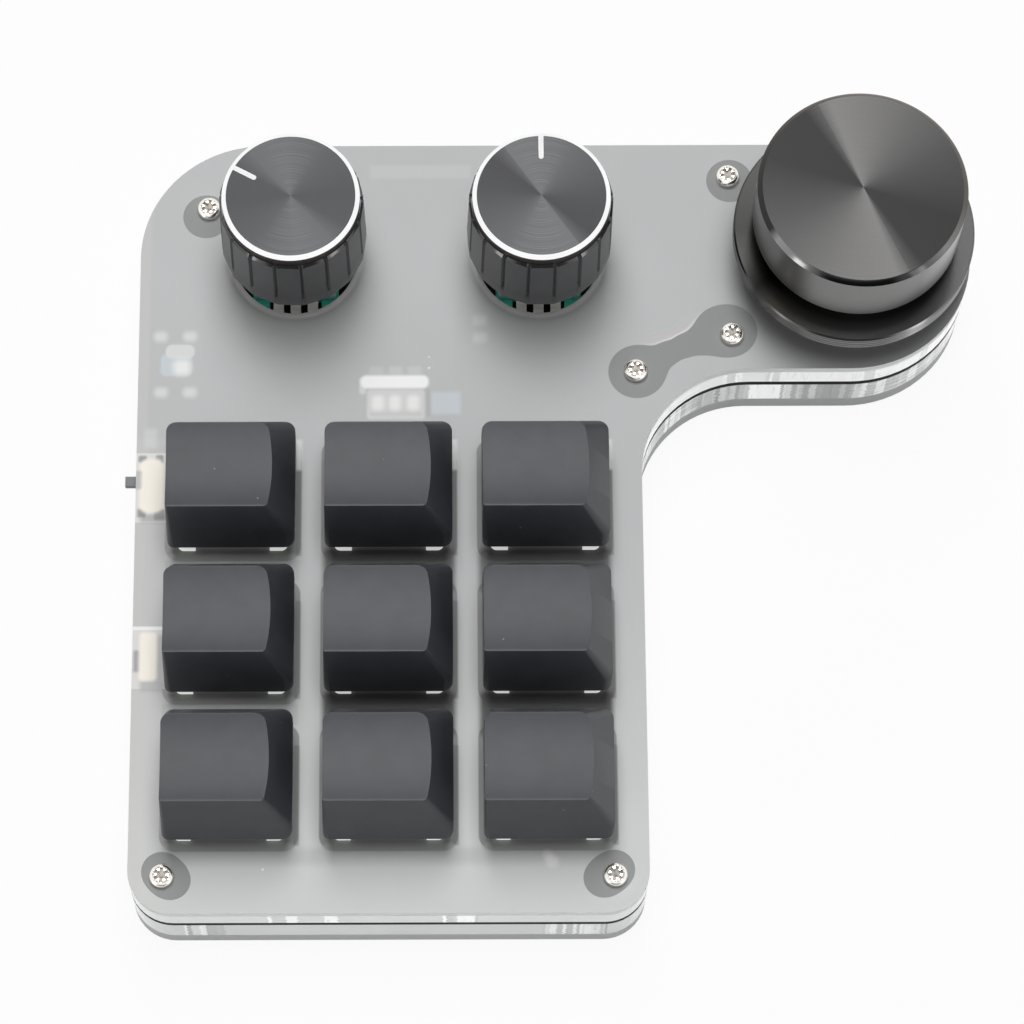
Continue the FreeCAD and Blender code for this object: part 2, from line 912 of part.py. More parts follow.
# Large knob: flange, waist and drum turned from one bar
flange_end_z = large_knob_z + large_flange_height
large_knob = revolve(
    [
        (0, large_knob_z),
        (large_flange_radius - large_flange_bevel, large_knob_z),
        (large_flange_radius, large_knob_z + large_flange_bevel),
        (large_flange_radius, flange_end_z - large_flange_bevel),
        (large_flange_radius - large_flange_bevel, flange_end_z),
        (large_waist_radius, flange_end_z),
        (large_waist_radius, large_drum_z),
        (large_top_radius - large_flange_bevel, large_drum_z),
        (large_top_radius, large_drum_z + large_flange_bevel),
        (large_top_radius, large_top_z - large_top_bevel),
        (large_top_radius - large_top_bevel, large_top_z),
        (0, large_top_z),
    ],
    0,
    0,
)
large_knob = large_knob.cut(disc(0, 0, large_knob_z, bushing_room_radius, bushing_room_height))
large_bore = flatted(
    shaft_radius + bore_gap, large_knob_z, shaft_high_z - large_knob_z, shaft_flat + bore_gap
)
large_knob = large_knob.cut(large_bore)
set_screw_hole = Part.makeCylinder(
    set_screw_radius + set_screw_gap, large_waist_radius, vec(0, 0, set_screw_z), vec(0, 1, 0)
)
large_knob = large_knob.cut(set_screw_hole)
set_screw_start = shaft_flat + bore_gap + set_screw_gap
set_screw = Part.makeCylinder(
    set_screw_radius, set_screw_length, vec(0, set_screw_start, set_screw_z), vec(0, 1, 0)
)
large_place = [encoder_places[2]]
save("large_knob", copies(large_knob, large_place)[0])
save("large_knob_set_screw", copies(set_screw, large_place)[0])

# Slide switch
slide_body_x = slide_body_left_x + slide_body_width / 2
slide_body = box(
    slide_body_x,
    slide_mid_y,
    board_top_z,
    slide_body_width,
    slide_body_length,
    slide_body_height,
)
slot_z = board_top_z + slide_slot_lift
slide_body = slide_body.cut(
    box(slide_body_left_x, slide_mid_y, slot_z, 2 * slide_slot_depth, slide_slot_length,
        slide_slot_height)
)
save("slide_switch_body", slide_body)
shell_x = slide_body_left_x + slide_body_width + slide_shell_wall / 2
shell = box(
    shell_x,
    slide_mid_y,
    board_top_z,
    slide_shell_wall,
    slide_body_length + 2 * slide_shell_wall,
    slide_body_height - slide_shell_wall,
)
for side in (-1, 1):
    shell = shell.fuse(
        box(
            slide_body_x,
            slide_mid_y + side * (slide_body_length + slide_shell_wall) / 2,
            board_top_z,
            slide_body_width,
            slide_shell_wall,
            slide_body_height - slide_shell_wall,
        )
    )
save("slide_switch_shell", shell)
slider_inner_x = slide_body_left_x + slide_slot_depth - slider_gap
slider_length = slider_inner_x - slider_tip_x
slider = box(
    (slider_inner_x + slider_tip_x) / 2,
    slide_mid_y + slider_rest,
    slot_z + (slide_slot_height - slider_height) / 2,
    slider_length,
    slider_width,
    slider_height,
)
save("slide_switch_slider", slider)

# Push button on its side
side_body = box(
    side_body_left_x + side_body_width / 2,
    side_mid_y,
    board_top_z,
    side_body_width,
    side_body_length,
    side_body_height,
)
side_slot_z = board_top_z + side_slot_lift
side_body = side_body.cut(
    box(side_body_left_x, side_mid_y, side_slot_z, 2 * side_slot_depth, side_slot_length,
        side_slot_height)
)
save("side_button_body", side_body)
plunger_inner_x = side_body_left_x + side_slot_depth - plunger_inner_gap
plunger = box(
    (plunger_inner_x + plunger_tip_x) / 2,
    side_mid_y,
    side_slot_z + (side_slot_height - plunger_height) / 2,
    plunger_inner_x - plunger_tip_x,
    plunger_length,
    plunger_height,
)
save("side_button_plunger", plunger)

# Parts on the board, under the frosted sheet
tact = box(tact_x, tact_y, board_top_z, tact_width, tact_depth, tact_height)
tact = tact.fuse(
    disc(tact_x, tact_y, board_top_z + tact_height, tact_button_radius, tact_button_height)
)
for side_x in (-1, 1):
    for side_y in (-1, 1):
        lead_mid_y = tact_y + side_y * (tact_pad_y + tact_depth / 2) / 2
        lead_depth = tact_pad_y - tact_depth / 2 + tact_pad_depth
        tact = tact.fuse(
            box(
                tact_x + side_x * tact_pad_x,
                lead_mid_y,
                board_top_z,
                tact_pad_width,
                lead_depth,
                tact_pad_height,
            )
        )
save("press_switch", tact)

connector = box(
    connector_x, connector_y, board_top_z, connector_width, connector_depth, connector_height
)
connector = connector.cut(
    box(
        connector_x,
        connector_y - connector_depth / 2,
        board_top_z + connector_slot_lift,
        connector_slot_width,
        2 * connector_slot_depth,
        connector_slot_height,
    )
)
save("board_connector", connector)
chip = box(chip_x, chip_y, board_top_z, chip_width, chip_depth, chip_height)
small_part = box(
    small_part_x, small_part_y, board_top_z, small_part_width, small_part_depth,
    small_part_height
)
save("board_parts", Part.makeCompound([chip, small_part]))

# Hidden parts under the board
controller = box(
    controller_x,
    controller_y,
    board_z - controller_height,
    controller_width,
    controller_depth,
    controller_height,
)
save("controller_module", controller)
battery_rear_y = usb_rear_y - usb_length - battery_gap
battery = rounded_box(
    body_left_x + battery_inset + battery_width / 2,
    battery_rear_y - battery_depth / 2,
    lower_frame_z + battery_lift,
    battery_width,
    battery_depth,
    battery_height,
    battery_corner,
)
save("battery", battery)


def lying_tube(mid_x, rear_y, mid_z, width, height, length, corner):
    bar = rounded_box(0, 0, 0, width, height, length, corner)
    bar.rotate(vec(0, 0), vec(1, 0, 0), 90)
    bar.translate(vec(mid_x, rear_y, mid_z))
    return bar


usb_mid_z = board_z - usb_height / 2
usb_shell = lying_tube(usb_x, usb_rear_y, usb_mid_z, usb_width, usb_height, usb_length, usb_corner)
usb_hollow = lying_tube(
    usb_x,
    usb_rear_y,
    usb_mid_z,
    usb_width - 2 * usb_wall,
    usb_height - 2 * usb_wall,
    usb_length - usb_wall,
    usb_corner - usb_wall,
)
save("usb_shell", usb_shell.cut(usb_hollow))
tongue_rear_y = usb_rear_y - usb_length + usb_wall + tongue_length
tongue = box(
    usb_x,
    tongue_rear_y - tongue_length / 2,
    usb_mid_z - tongue_height / 2,
    tongue_width,
    tongue_length,
    tongue_height,
)
root_height = usb_height - 2 * usb_wall
tongue = tongue.fuse(
    box(
        usb_x,
        tongue_rear_y - tongue_length + tongue_root / 2,
        usb_mid_z - root_height / 2,
        tongue_width - usb_corner,
        tongue_root,
        root_height,
    )
)
save("usb_tongue", tongue)
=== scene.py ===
import math

import bpy
from mathutils import Euler, Matrix, Vector


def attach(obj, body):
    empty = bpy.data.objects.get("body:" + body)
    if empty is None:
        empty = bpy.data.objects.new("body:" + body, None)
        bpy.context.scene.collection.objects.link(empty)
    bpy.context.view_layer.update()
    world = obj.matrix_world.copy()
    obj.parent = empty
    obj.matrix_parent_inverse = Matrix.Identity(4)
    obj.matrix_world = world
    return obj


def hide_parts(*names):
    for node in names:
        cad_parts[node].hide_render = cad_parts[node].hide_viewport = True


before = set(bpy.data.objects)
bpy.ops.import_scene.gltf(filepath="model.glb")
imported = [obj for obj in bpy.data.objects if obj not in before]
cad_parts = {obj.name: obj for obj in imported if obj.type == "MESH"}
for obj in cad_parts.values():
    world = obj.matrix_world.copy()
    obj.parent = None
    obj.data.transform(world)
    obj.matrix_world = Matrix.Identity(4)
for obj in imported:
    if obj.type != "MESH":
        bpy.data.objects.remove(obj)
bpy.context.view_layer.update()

# Sizes in millimetres, as in the CAD source, turned to metres where they are used
MM = 0.001
DECK_Z = 16.0
ENCODER_X = (-37.1, -1.6, 43.7)
ENCODER_Y = 40.5
BODY_MID_X = -23.4
KEY_PITCH_X = 22.27
KEY_PITCH_Y = 21.36
KEY_FIRST_ROW_Y = 2.78
SHEET_GREY = (0.49, 0.495, 0.50)
FRONT_PAINTED_LIGHT = (0.61, 0.625, 0.62)
SCREW_PLACES = (
    (-49.8, 48.0),
    (26.35, 52.95),
    (26.35, 27.95),
    (12.3, 22.3),
    (-54.9, -52.9),
    (8.1, -52.9),
)

KEY_PLACES = []
for row in range(3):
    for column in range(3):
        key_x = BODY_MID_X + (column - 1) * KEY_PITCH_X
        key_y = KEY_FIRST_ROW_Y - row * KEY_PITCH_Y
        label = "r" + str(row + 1) + "c" + str(column + 1)
        KEY_PLACES.append((label, key_x, key_y))


# Selecting, placing and finishing pieces
def nothing_selected():
    bpy.ops.object.select_all(action="DESELECT")


def only(obj):
    nothing_selected()
    obj.select_set(True)
    bpy.context.view_layer.objects.active = obj


def settle(obj):
    only(obj)
    bpy.ops.object.transform_apply(location=True, rotation=True, scale=True)


def edit(obj):
    only(obj)
    bpy.ops.object.mode_set(mode="EDIT")


def object_mode():
    bpy.ops.object.mode_set(mode="OBJECT")


def start_picking(obj, kind):
    edit(obj)
    bpy.ops.mesh.select_mode(type=kind)
    bpy.ops.mesh.select_all(action="DESELECT")
    object_mode()


def pick_faces(obj, wanted):
    start_picking(obj, "FACE")
    for face in obj.data.polygons:
        face.select = wanted(face.center, face.normal)
    bpy.ops.object.mode_set(mode="EDIT")


def pick_points(obj, wanted):
    start_picking(obj, "VERT")
    for point in obj.data.vertices:
        point.select = wanted(point.co)
    bpy.ops.object.mode_set(mode="EDIT")


def pick_edges(obj, wanted):
    start_picking(obj, "EDGE")
    points = obj.data.vertices
    for line in obj.data.edges:
        line.select = wanted(points[line.vertices[0]].co, points[line.vertices[1]].co)
    bpy.ops.object.mode_set(mode="EDIT")


def push(height, scale=1.0):
    bpy.ops.mesh.extrude_region_move(TRANSFORM_OT_translate={"value": (0, 0, height * MM)})
    if scale != 1.0:
        bpy.ops.transform.resize(value=(scale, scale, 1))


def round_edges(obj, width, steps=2, angle=30.0):
    bevel = obj.modifiers.new("edges", "BEVEL")
    bevel.width = width * MM
    bevel.segments = steps
    bevel.limit_method = "ANGLE"
    bevel.angle_limit = math.radians(angle)
    only(obj)
    bpy.ops.object.modifier_apply(modifier=bevel.name)


def carve(obj, tool, operation="DIFFERENCE"):
    cut = obj.modifiers.new("cut", "BOOLEAN")
    cut.operation = operation
    cut.solver = "EXACT"
    cut.object = tool
    only(obj)
    bpy.ops.object.modifier_apply(modifier=cut.name)
    bpy.data.objects.remove(tool, do_unlink=True)


def smooth(obj, angle=35.0):
    only(obj)
    bpy.ops.object.shade_smooth_by_angle(angle=math.radians(angle))


def even_shading(obj):
    """Large faces keep their own shading, and the narrow ones beside them blend in."""
    weighted = obj.modifiers.new("shading", "WEIGHTED_NORMAL")
    weighted.keep_sharp = True
    weighted.weight = 60
    only(obj)
    bpy.ops.object.modifier_apply(modifier=weighted.name)


def block(low, high, name="block"):
    nothing_selected()
    middle = [(a + b) / 2 * MM for a, b in zip(low, high)]
    bpy.ops.mesh.primitive_cube_add(size=1, location=middle)
    obj = bpy.context.active_object
    obj.scale = [(b - a) * MM for a, b in zip(low, high)]
    obj.name = name
    settle(obj)
    return obj


def bar(mid_x, mid_y, low_z, radius, height, sides=48, name="bar"):
    nothing_selected()
    bpy.ops.mesh.primitive_cylinder_add(
        vertices=sides,
        radius=radius * MM,
        depth=height * MM,
        location=(mid_x * MM, mid_y * MM, (low_z + height / 2) * MM),
    )
    obj = bpy.context.active_object
    obj.name = name
    settle(obj)
    return obj


def turned(profile, sides, name):
    """A turned piece on the Z axis: a disc pushed up and scaled through each (radius, z)."""
    first_radius, first_z = profile[0]
    nothing_selected()
    bpy.ops.mesh.primitive_circle_add(
        vertices=sides,
        radius=first_radius * MM,
        fill_type="NGON",
        location=(0, 0, first_z * MM),
    )
    obj = bpy.context.active_object
    obj.name = name
    settle(obj)
    edit(obj)
    bpy.ops.mesh.select_all(action="SELECT")
    radius, z = first_radius, first_z
    for next_radius, next_z in profile[1:]:
        push(next_z - z, next_radius / radius)
        radius, z = next_radius, next_z
    bpy.ops.mesh.select_all(action="SELECT")
    bpy.ops.mesh.normals_make_consistent(inside=False)
    object_mode()
    return obj


def copy_at(obj, name, x, y):
    made = obj.copy()
    made.data = obj.data.copy()
    made.name = name
    made.data.name = name
    made.data.transform(Matrix.Translation((x * MM, y * MM, 0)))
    bpy.context.scene.collection.objects.link(made)
    return made


def joined(objects, name):
    only(objects[0])
    for obj in objects:
        obj.select_set(True)
    if len(objects) > 1:
        bpy.ops.object.join()
    made = bpy.context.active_object
    made.name = name
    return made


def finish_piece(obj, material, body, slot, *nodes):
    obj.data.materials.clear()
    for one in material if isinstance(material, (list, tuple)) else (material,):
        obj.data.materials.append(one)
    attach(obj, body)
    if nodes:
        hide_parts(*nodes)


# Materials
class Finish:
    """A node material with the shader's own sockets set by name."""

    def __init__(self, name, color, roughness, **sockets):
        self.material = bpy.data.materials.new(name)
        self.material.use_nodes = True
        self.nodes = self.material.node_tree.nodes
        self.links = self.material.node_tree.links
        self.shader = self.nodes["Principled BSDF"]
        self.color = color
        self.shader.inputs["Base Color"].default_value = (*color, 1)
        self.shader.inputs["Roughness"].default_value = roughness
        for socket, value in sockets.items():
            self.shader.inputs[socket.replace("_", " ")].default_value = value
        self.place = self.nodes.new("ShaderNodeTexCoord").outputs["Object"]
        self.bump = None

    def node(self, kind, **values):
        made = self.nodes.new("ShaderNode" + kind)
        for key, value in values.items():
            if hasattr(made, key):
                setattr(made, key, value)
            else:
                made.inputs[key.replace("_", " ")].default_value = value
        return made

    def link(self, source, target):
        self.links.new(source, target)

    def math(self, operation, first, second=None):
        """One math node. A number is set on its socket, a socket is linked to it."""
        made = self.node("Math", operation=operation)
        for socket, value in zip(made.inputs, (first, second)):
            if isinstance(value, (int, float)):
                socket.default_value = value
            elif value is not None:
                self.link(value, socket)
        return made.outputs["Value"]

    def vector(self, operation, first, *others):
        """One vector math node, with its number output where it gives a number."""
        made = self.node("VectorMath", operation=operation)
        for socket, value in zip(made.inputs, (first, *others)):
            if isinstance(value, tuple):
                socket.default_value = value
            else:
                self.link(value, socket)
        gives_number = operation in ("LENGTH", "DISTANCE")
        return made.outputs["Value" if gives_number else "Vector"]

    def level(self, value, low, high, soft=True):
        """0 where value is at low, 1 where it is at high."""
        made = self.node("MapRange")
        made.interpolation_type = "SMOOTHSTEP" if soft else "LINEAR"
        made.inputs["From Min"].default_value = low
        made.inputs["From Max"].default_value = high
        self.link(value, made.inputs["Value"])
        return made.outputs["Result"]

    def ramp(self, value, stops):
        """Colours along a value. stops are (position, colour) pairs."""
        made = self.node("ValToRGB")
        steps = made.color_ramp.elements
        while len(steps) < len(stops):
            steps.new(0.5)
        for step, (position, color) in zip(steps, stops):
            step.position = position
            step.color = (*color, 1)
        self.link(value, made.inputs["Fac"])
        return made.outputs["Color"]

    def mixed(self, base, mask, color, amount=1.0):
        """base, turned towards color by amount where mask is 1."""
        made = self.node("Mix", data_type="RGBA")
        part = mask if amount == 1.0 else self.math("MULTIPLY", mask, amount)
        self.link(part, made.inputs["Factor"])
        self.link(base, made.inputs[6])
        if isinstance(color, tuple):
            made.inputs[7].default_value = (*color, 1)
        else:
            self.link(color, made.inputs[7])
        return made.outputs[2]

    def noise(self, scale, detail=3.0, stretch=(1.0, 1.0, 1.0)):
        placed = self.vector("MULTIPLY", self.place, stretch)
        made = self.node("TexNoise", Scale=scale, Detail=detail)
        self.link(placed, made.inputs["Vector"])
        return made.outputs["Fac"]

    def dent(self, height, strength, distance):
        """Adds fine relief on the shader's normal, distance in millimetres."""
        made = self.node("Bump", Strength=strength, Distance=distance * MM)
        self.link(height, made.inputs["Height"])
        if self.bump is not None:
            self.link(self.bump, made.inputs["Normal"])
        self.bump = made.outputs["Normal"]
        self.link(self.bump, self.shader.inputs["Normal"])

    def grain(self, scale, strength, distance=0.02, detail=3.0):
        self.dent(self.noise(scale, detail), strength, distance)

    def mottle(self, scale, spread):
        """The colour varies a little from place to place."""
        dark = tuple(c * (1 - spread) for c in self.color)
        light = tuple(min(1, c * (1 + spread)) for c in self.color)
        return self.ramp(self.noise(scale, 4.0), ((0.3, dark), (0.7, light)))

    def paint(self, color):
        self.link(color, self.shader.inputs["Base Color"])
        return self.material


def plain_finish(name, color, roughness, spread=0.06, grain=0.15, scale=900.0, **sockets):
    made = Finish(name, color, roughness, **sockets)
    made.grain(scale, grain)
    return made.paint(made.mottle(scale / 6, spread))


def round_place(made, mid_x, mid_y):
    """Place round an upright axis: distance from it, and its angle."""
    flat = made.vector("MULTIPLY", made.place, (1, 1, 0))
    moved = made.vector("SUBTRACT", flat, (mid_x * MM, mid_y * MM, 0))
    split = made.node("SeparateXYZ")
    made.link(moved, split.inputs["Vector"])
    angle = made.math("ARCTAN2", split.outputs["Y"], split.outputs["X"])
    return made.vector("LENGTH", moved), angle


def spun_finish(name, mid_x, mid_y, sectors, start, ring_scale, ring_amount, **sockets):
    """Metal face with fine turned rings. sectors paint highlights and shade on each half turn from
    start on, and the rings show as painted highlights across part of the turn.
    """
    made = Finish(name, sectors[0][1], 0.36, Metallic=0.9, **sockets)
    radius, angle = round_place(made, mid_x, mid_y)
    from_start = made.math("SUBTRACT", angle, math.radians(start))
    half_turns = made.math("DIVIDE", from_start, math.pi)
    base = made.ramp(made.math("FRACT", half_turns), sectors)
    rings = made.node("TexNoise", noise_dimensions="1D", Scale=ring_scale, Detail=3.0)
    made.link(radius, rings.inputs["W"])
    fine = made.level(rings.outputs["Fac"], 0.52, 0.72)
    across = made.math("ABSOLUTE", made.math("COSINE", angle))
    shown = made.math("MULTIPLY", fine, made.level(across, 0.62, 0.30))
    lighter = tuple(min(1, c * 2.2) for c in sectors[-1][1])
    base = made.mixed(base, shown, lighter, ring_amount)
    made.dent(rings.outputs["Fac"], 0.3, 0.012)
    return made.paint(base)


def round_finish(name, mid_x, mid_y, stops, roughness, **sockets):
    """Metal round an upright axis. stops colour it once round, from the left by the front, as
    painted highlights and reflections.
    """
    made = Finish(name, stops[0][1], roughness, **sockets)
    made.grain(800.0, 0.05)
    angle = round_place(made, mid_x, mid_y)[1]
    part = made.math("ADD", made.math("DIVIDE", angle, 2 * math.pi), 0.5)
    return made.paint(made.ramp(part, stops))


def slab(made, flat, low, high, corner, soft):
    """1 inside a rectangle with rounded corners and soft edges, 0 outside it."""
    mid = tuple((a + b) / 2 * MM for a, b in zip(low, high))
    half = [(b - a) / 2 - corner for a, b in zip(low, high)]
    moved = made.vector("ABSOLUTE", made.vector("SUBTRACT", flat, (*mid, 0)))
    past = made.vector("SUBTRACT", moved, (half[0] * MM, half[1] * MM, 0))
    outside = made.vector("LENGTH", made.vector("MAXIMUM", past, (0, 0, 0)))
    return made.level(outside, (corner + soft) * MM, (corner - soft) * MM)


def spot(made, flat, mid, reach, soft):
    """1 inside a soft-edged round spot, 0 outside it."""
    far = made.vector("DISTANCE", flat, (mid[0] * MM, mid[1] * MM, 0))
    return made.level(far, (reach + soft) * MM, (reach - soft) * MM)


def wet_patch(made, flat, balls):
    """Pull of round drops on each other: 1 at the edge, more inside."""
    total = None
    for x, y, reach in balls:
        far = made.vector("DISTANCE", flat, (x * MM, y * MM, 0))
        pull = made.math("POWER", made.math("DIVIDE", reach * MM, far), 2.0)
        total = pull if total is None else made.math("ADD", total, pull)
    return total


# Shapes that show through the frosted sheet, and painted shadows and highlights on it: low corner,
# high corner, corner radius, softness, colour and amount
WHITE_GLOW = (0.90, 0.90, 0.88)
PALE_GLOW = (0.72, 0.73, 0.72)
CREAM_GLOW = (1.0, 0.94, 0.84)
BLUE_GLOW = (0.60, 0.67, 0.71)
STRIP_SHADE = (0.09, 0.09, 0.09)
SOFT_SHADE = (0.34, 0.345, 0.35)
DEEP_SHADE = (0.20, 0.20, 0.20)
WELL_SHADE = (0.17, 0.175, 0.17)
SHOW_THROUGH = (
    # Left and front bands where the sheet meets the clear frame
    ((-61.0, -60.0), (-58.3, 60.0), 0.1, 0.5, (0.60, 0.60, 0.57), 0.5),
    # Painted light: a paler band left of the keys
    ((-61.4, -60.0), (-54.6, 12.0), 0.3, 0.6, (0.62, 0.62, 0.60), 0.4),
    # Upper notch, its switch body with dark corners, and the lever's root
    ((-62.0, -0.7), (-54.9, 9.9), 0.2, 0.15, (0.80, 0.79, 0.77), 0.9),
    ((-59.0, -0.7), (-54.9, 0.6), 0.5, 0.5, SOFT_SHADE, 0.75),
    ((-59.4, 8.5), (-58.2, 9.5), 0.3, 0.25, DEEP_SHADE, 0.8),
    ((-56.9, 8.3), (-55.8, 9.6), 0.3, 0.25, DEEP_SHADE, 0.75),
    ((-59.4, 0.1), (-58.2, 1.4), 0.3, 0.3, DEEP_SHADE, 0.85),
    ((-57.0, -0.3), (-55.4, 1.3), 0.3, 0.3, DEEP_SHADE, 0.75),
    ((-59.2, 0.8), (-55.7, 9.0), 1.3, 0.4, CREAM_GLOW, 1.0),
    ((-59.9, 4.4), (-58.9, 7.2), 0.3, 0.35, SOFT_SHADE, 0.6),
    # Lower notch with a bright edge, its switch body and its plunger
    ((-62.0, -25.6), (-54.9, -16.4), 0.2, 0.15, (0.78, 0.77, 0.75), 0.9),
    ((-62.0, -16.85), (-55.4, -16.35), 0.05, 0.12, (1.0, 1.0, 1.0), 1.0),
    ((-58.5, -25.9), (-54.9, -24.3), 0.5, 0.5, SOFT_SHADE, 0.6),
    ((-56.9, -24.4), (-55.0, -17.6), 0.6, 0.5, SOFT_SHADE, 0.55),
    ((-58.7, -24.4), (-56.2, -17.2), 0.6, 0.4, CREAM_GLOW, 1.0),
    ((-59.5, -23.1), (-58.8, -19.9), 0.3, 0.35, (0.30, 0.28, 0.32), 0.85),
    # Press switch with its cap, and its four pads
    ((-56.5, 21.8), (-52.0, 25.2), 0.8, 0.3, BLUE_GLOW, 0.75),
    ((-55.8, 24.5), (-51.6, 26.7), 1.0, 0.25, PALE_GLOW, 0.9),
    ((-54.6, 22.0), (-52.2, 24.3), 0.9, 0.8, WHITE_GLOW, 0.9),
    ((-57.5, 27.2), (-55.6, 28.7), 0.7, 0.6, PALE_GLOW, 0.85),
    ((-53.3, 27.2), (-51.3, 28.7), 0.7, 0.6, PALE_GLOW, 0.85),
    ((-57.3, 18.5), (-55.4, 20.0), 0.7, 0.6, PALE_GLOW, 0.85),
    ((-53.2, 18.5), (-51.2, 20.0), 0.7, 0.6, PALE_GLOW, 0.85),
    # Connector: three pads, its box with three contacts, its rim and a dark side
    ((-26.3, 21.9), (-24.2, 23.2), 0.4, 0.4, PALE_GLOW, 0.3),
    ((-23.4, 21.9), (-21.5, 23.2), 0.4, 0.4, PALE_GLOW, 0.35),
    ((-20.7, 21.9), (-18.7, 23.2), 0.4, 0.4, PALE_GLOW, 0.35),
    ((-18.4, 15.4), (-17.4, 19.8), 0.3, 0.3, SOFT_SHADE, 0.4),
    ((-26.6, 15.0), (-18.2, 19.6), 0.6, 0.35, PALE_GLOW, 0.75),
    ((-26.2, 15.5), (-18.6, 16.1), 0.3, 0.3, SOFT_SHADE, 0.2),
    ((-25.9, 16.4), (-24.1, 18.7), 0.7, 0.6, WHITE_GLOW, 0.95),
    ((-23.4, 16.4), (-21.7, 18.7), 0.7, 0.6, WHITE_GLOW, 0.95),
    ((-20.8, 16.4), (-19.0, 18.7), 0.7, 0.6, WHITE_GLOW, 0.95),
    ((-27.7, 18.9), (-26.8, 21.5), 0.4, 0.3, PALE_GLOW, 0.8),
    ((-27.5, 19.8), (-17.7, 21.8), 0.9, 0.35, (1.0, 1.0, 1.0), 1.0),
    # Chip beside the connector
    ((-17.3, 15.8), (-13.1, 19.2), 0.3, 0.45, BLUE_GLOW, 0.7),
    # Two pads right of it, and small parts near the keys
    ((-11.2, 29.6), (-9.2, 31.2), 0.5, 0.6, PALE_GLOW, 0.5),
    ((-11.2, 26.9), (-9.2, 28.4), 0.5, 0.6, PALE_GLOW, 0.5),
    ((-58.6, 10.6), (-56.8, 13.6), 0.5, 0.6, PALE_GLOW, 0.45),
    # Painted shadow on the strips between the wells of neighbouring rows
    ((-55.3, -9.6), (-36.2, -6.4), 0.3, 0.3, SOFT_SHADE, 0.3),
    ((-55.3, -31.0), (-36.2, -27.8), 0.3, 0.3, SOFT_SHADE, 0.3),
    ((-32.8, -11.4), (-14.0, -4.7), 0.9, 0.6, STRIP_SHADE, 0.8),
    ((-32.8, -32.8), (-14.0, -26.1), 0.9, 0.6, STRIP_SHADE, 0.95),
    ((-10.6, -11.4), (8.2, -4.7), 0.9, 0.6, STRIP_SHADE, 0.75),
    ((-10.6, -32.8), (8.2, -26.1), 0.9, 0.6, STRIP_SHADE, 0.95),
    # Painted shadow in a soft band in front of the last row's wells
    ((-55.4, -51.2), (8.6, -48.9), 0.8, 0.8, SOFT_SHADE, 0.4),
    # Painted highlight: a pale strip right of the first row's keys
    ((-36.8, 7.2), (-35.9, 11.9), 0.3, 0.35, PALE_GLOW, 0.8),
    ((-14.5, 7.2), (-13.6, 11.9), 0.3, 0.35, PALE_GLOW, 0.8),
    ((7.8, 7.2), (8.7, 11.9), 0.3, 0.35, PALE_GLOW, 0.8),
    # Plain pale bar near the rear edge
    ((-26.2, 53.0), (-11.5, 55.0), 0.3, 0.5, PALE_GLOW, 0.25),
)


# Shapes inside one key cell, from the middle of the key
WELL_SHAPES = (
    ((-9.71, -9.36), (9.71, 9.15), 2.2, 0.14, WELL_SHADE, 0.85),
    # Painted shade along the well's right side
    ((9.0, -8.6), (9.8, 6.0), 0.3, 0.2, (0.08, 0.08, 0.08), 0.5),
    # Painted light: a paler band across the well's front
    ((-9.2, -9.3), (9.2, -8.2), 0.8, 0.4, (0.42, 0.43, 0.42), 0.7),
    ((-7.7, -9.2), (-5.4, -8.0), 0.3, 0.5, (0.36, 0.40, 0.36), 0.6),
    ((5.4, -9.2), (7.7, -8.0), 0.3, 0.5, (0.36, 0.40, 0.36), 0.6),
)

# Wet-looking patches round the screws: middle and reach of the drops that form them
WET_GREY = (0.20, 0.205, 0.205)
WET_DROPS = (
    (12.34, 22.2, 3.85),
    (17.0, 25.2, 1.0),
    (19.4, 26.3, 1.0),
    (21.8, 27.0, 1.0),
    (23.8, 29.5, 1.2),
    (26.1, 28.6, 3.7),
    (-55.1, -52.0, 2.3),
    (-53.5, -53.6, 2.25),
    (8.2, -51.9, 2.3),
    (6.3, -53.4, 2.3),
    (-50.2, 46.9, 3.4),
    (26.6, 52.4, 3.3),
)
FRINGE_STOPS = (
    (0.0, SHEET_GREY),
    (0.58, SHEET_GREY),
    (0.63, (0.44, 0.56, 0.50)),
    (0.68, (0.60, 0.45, 0.50)),
    (0.73, (0.42, 0.58, 0.52)),
    (0.78, (0.64, 0.45, 0.50)),
    (0.84, (0.42, 0.58, 0.56)),
    (0.89, (0.66, 0.50, 0.52)),
    (0.93, (0.75, 0.76, 0.76)),
)
# Light specks of dust: middle, reach and amount
SHEET_SPECKS = (
    (-17.62, 24.66, 0.13, 0.9),
    (-17.63, 22.95, 0.18, 1.0),
    (-40.9, -51.9, 0.18, 1.0),
    (-0.7, -50.8, 0.9, 0.45),
    (-1.3, -49.9, 0.7, 0.3),
)


def key_cell(made, flat):
    """Place from the middle of the nearest key, and 1 over the key field."""
    middle = (BODY_MID_X * MM, (KEY_FIRST_ROW_Y - KEY_PITCH_Y) * MM, 0)
    half_x = KEY_PITCH_X / 2 * MM
    half_y = KEY_PITCH_Y / 2 * MM
    centred = made.vector("SUBTRACT", flat, middle)
    cell = made.vector("WRAP", centred, (half_x, half_y, 1.0), (-half_x, -half_y, -1.0))
    return cell, slab(made, centred, (-33.3, -31.9), (33.3, 31.9), 0.1, 0.05)


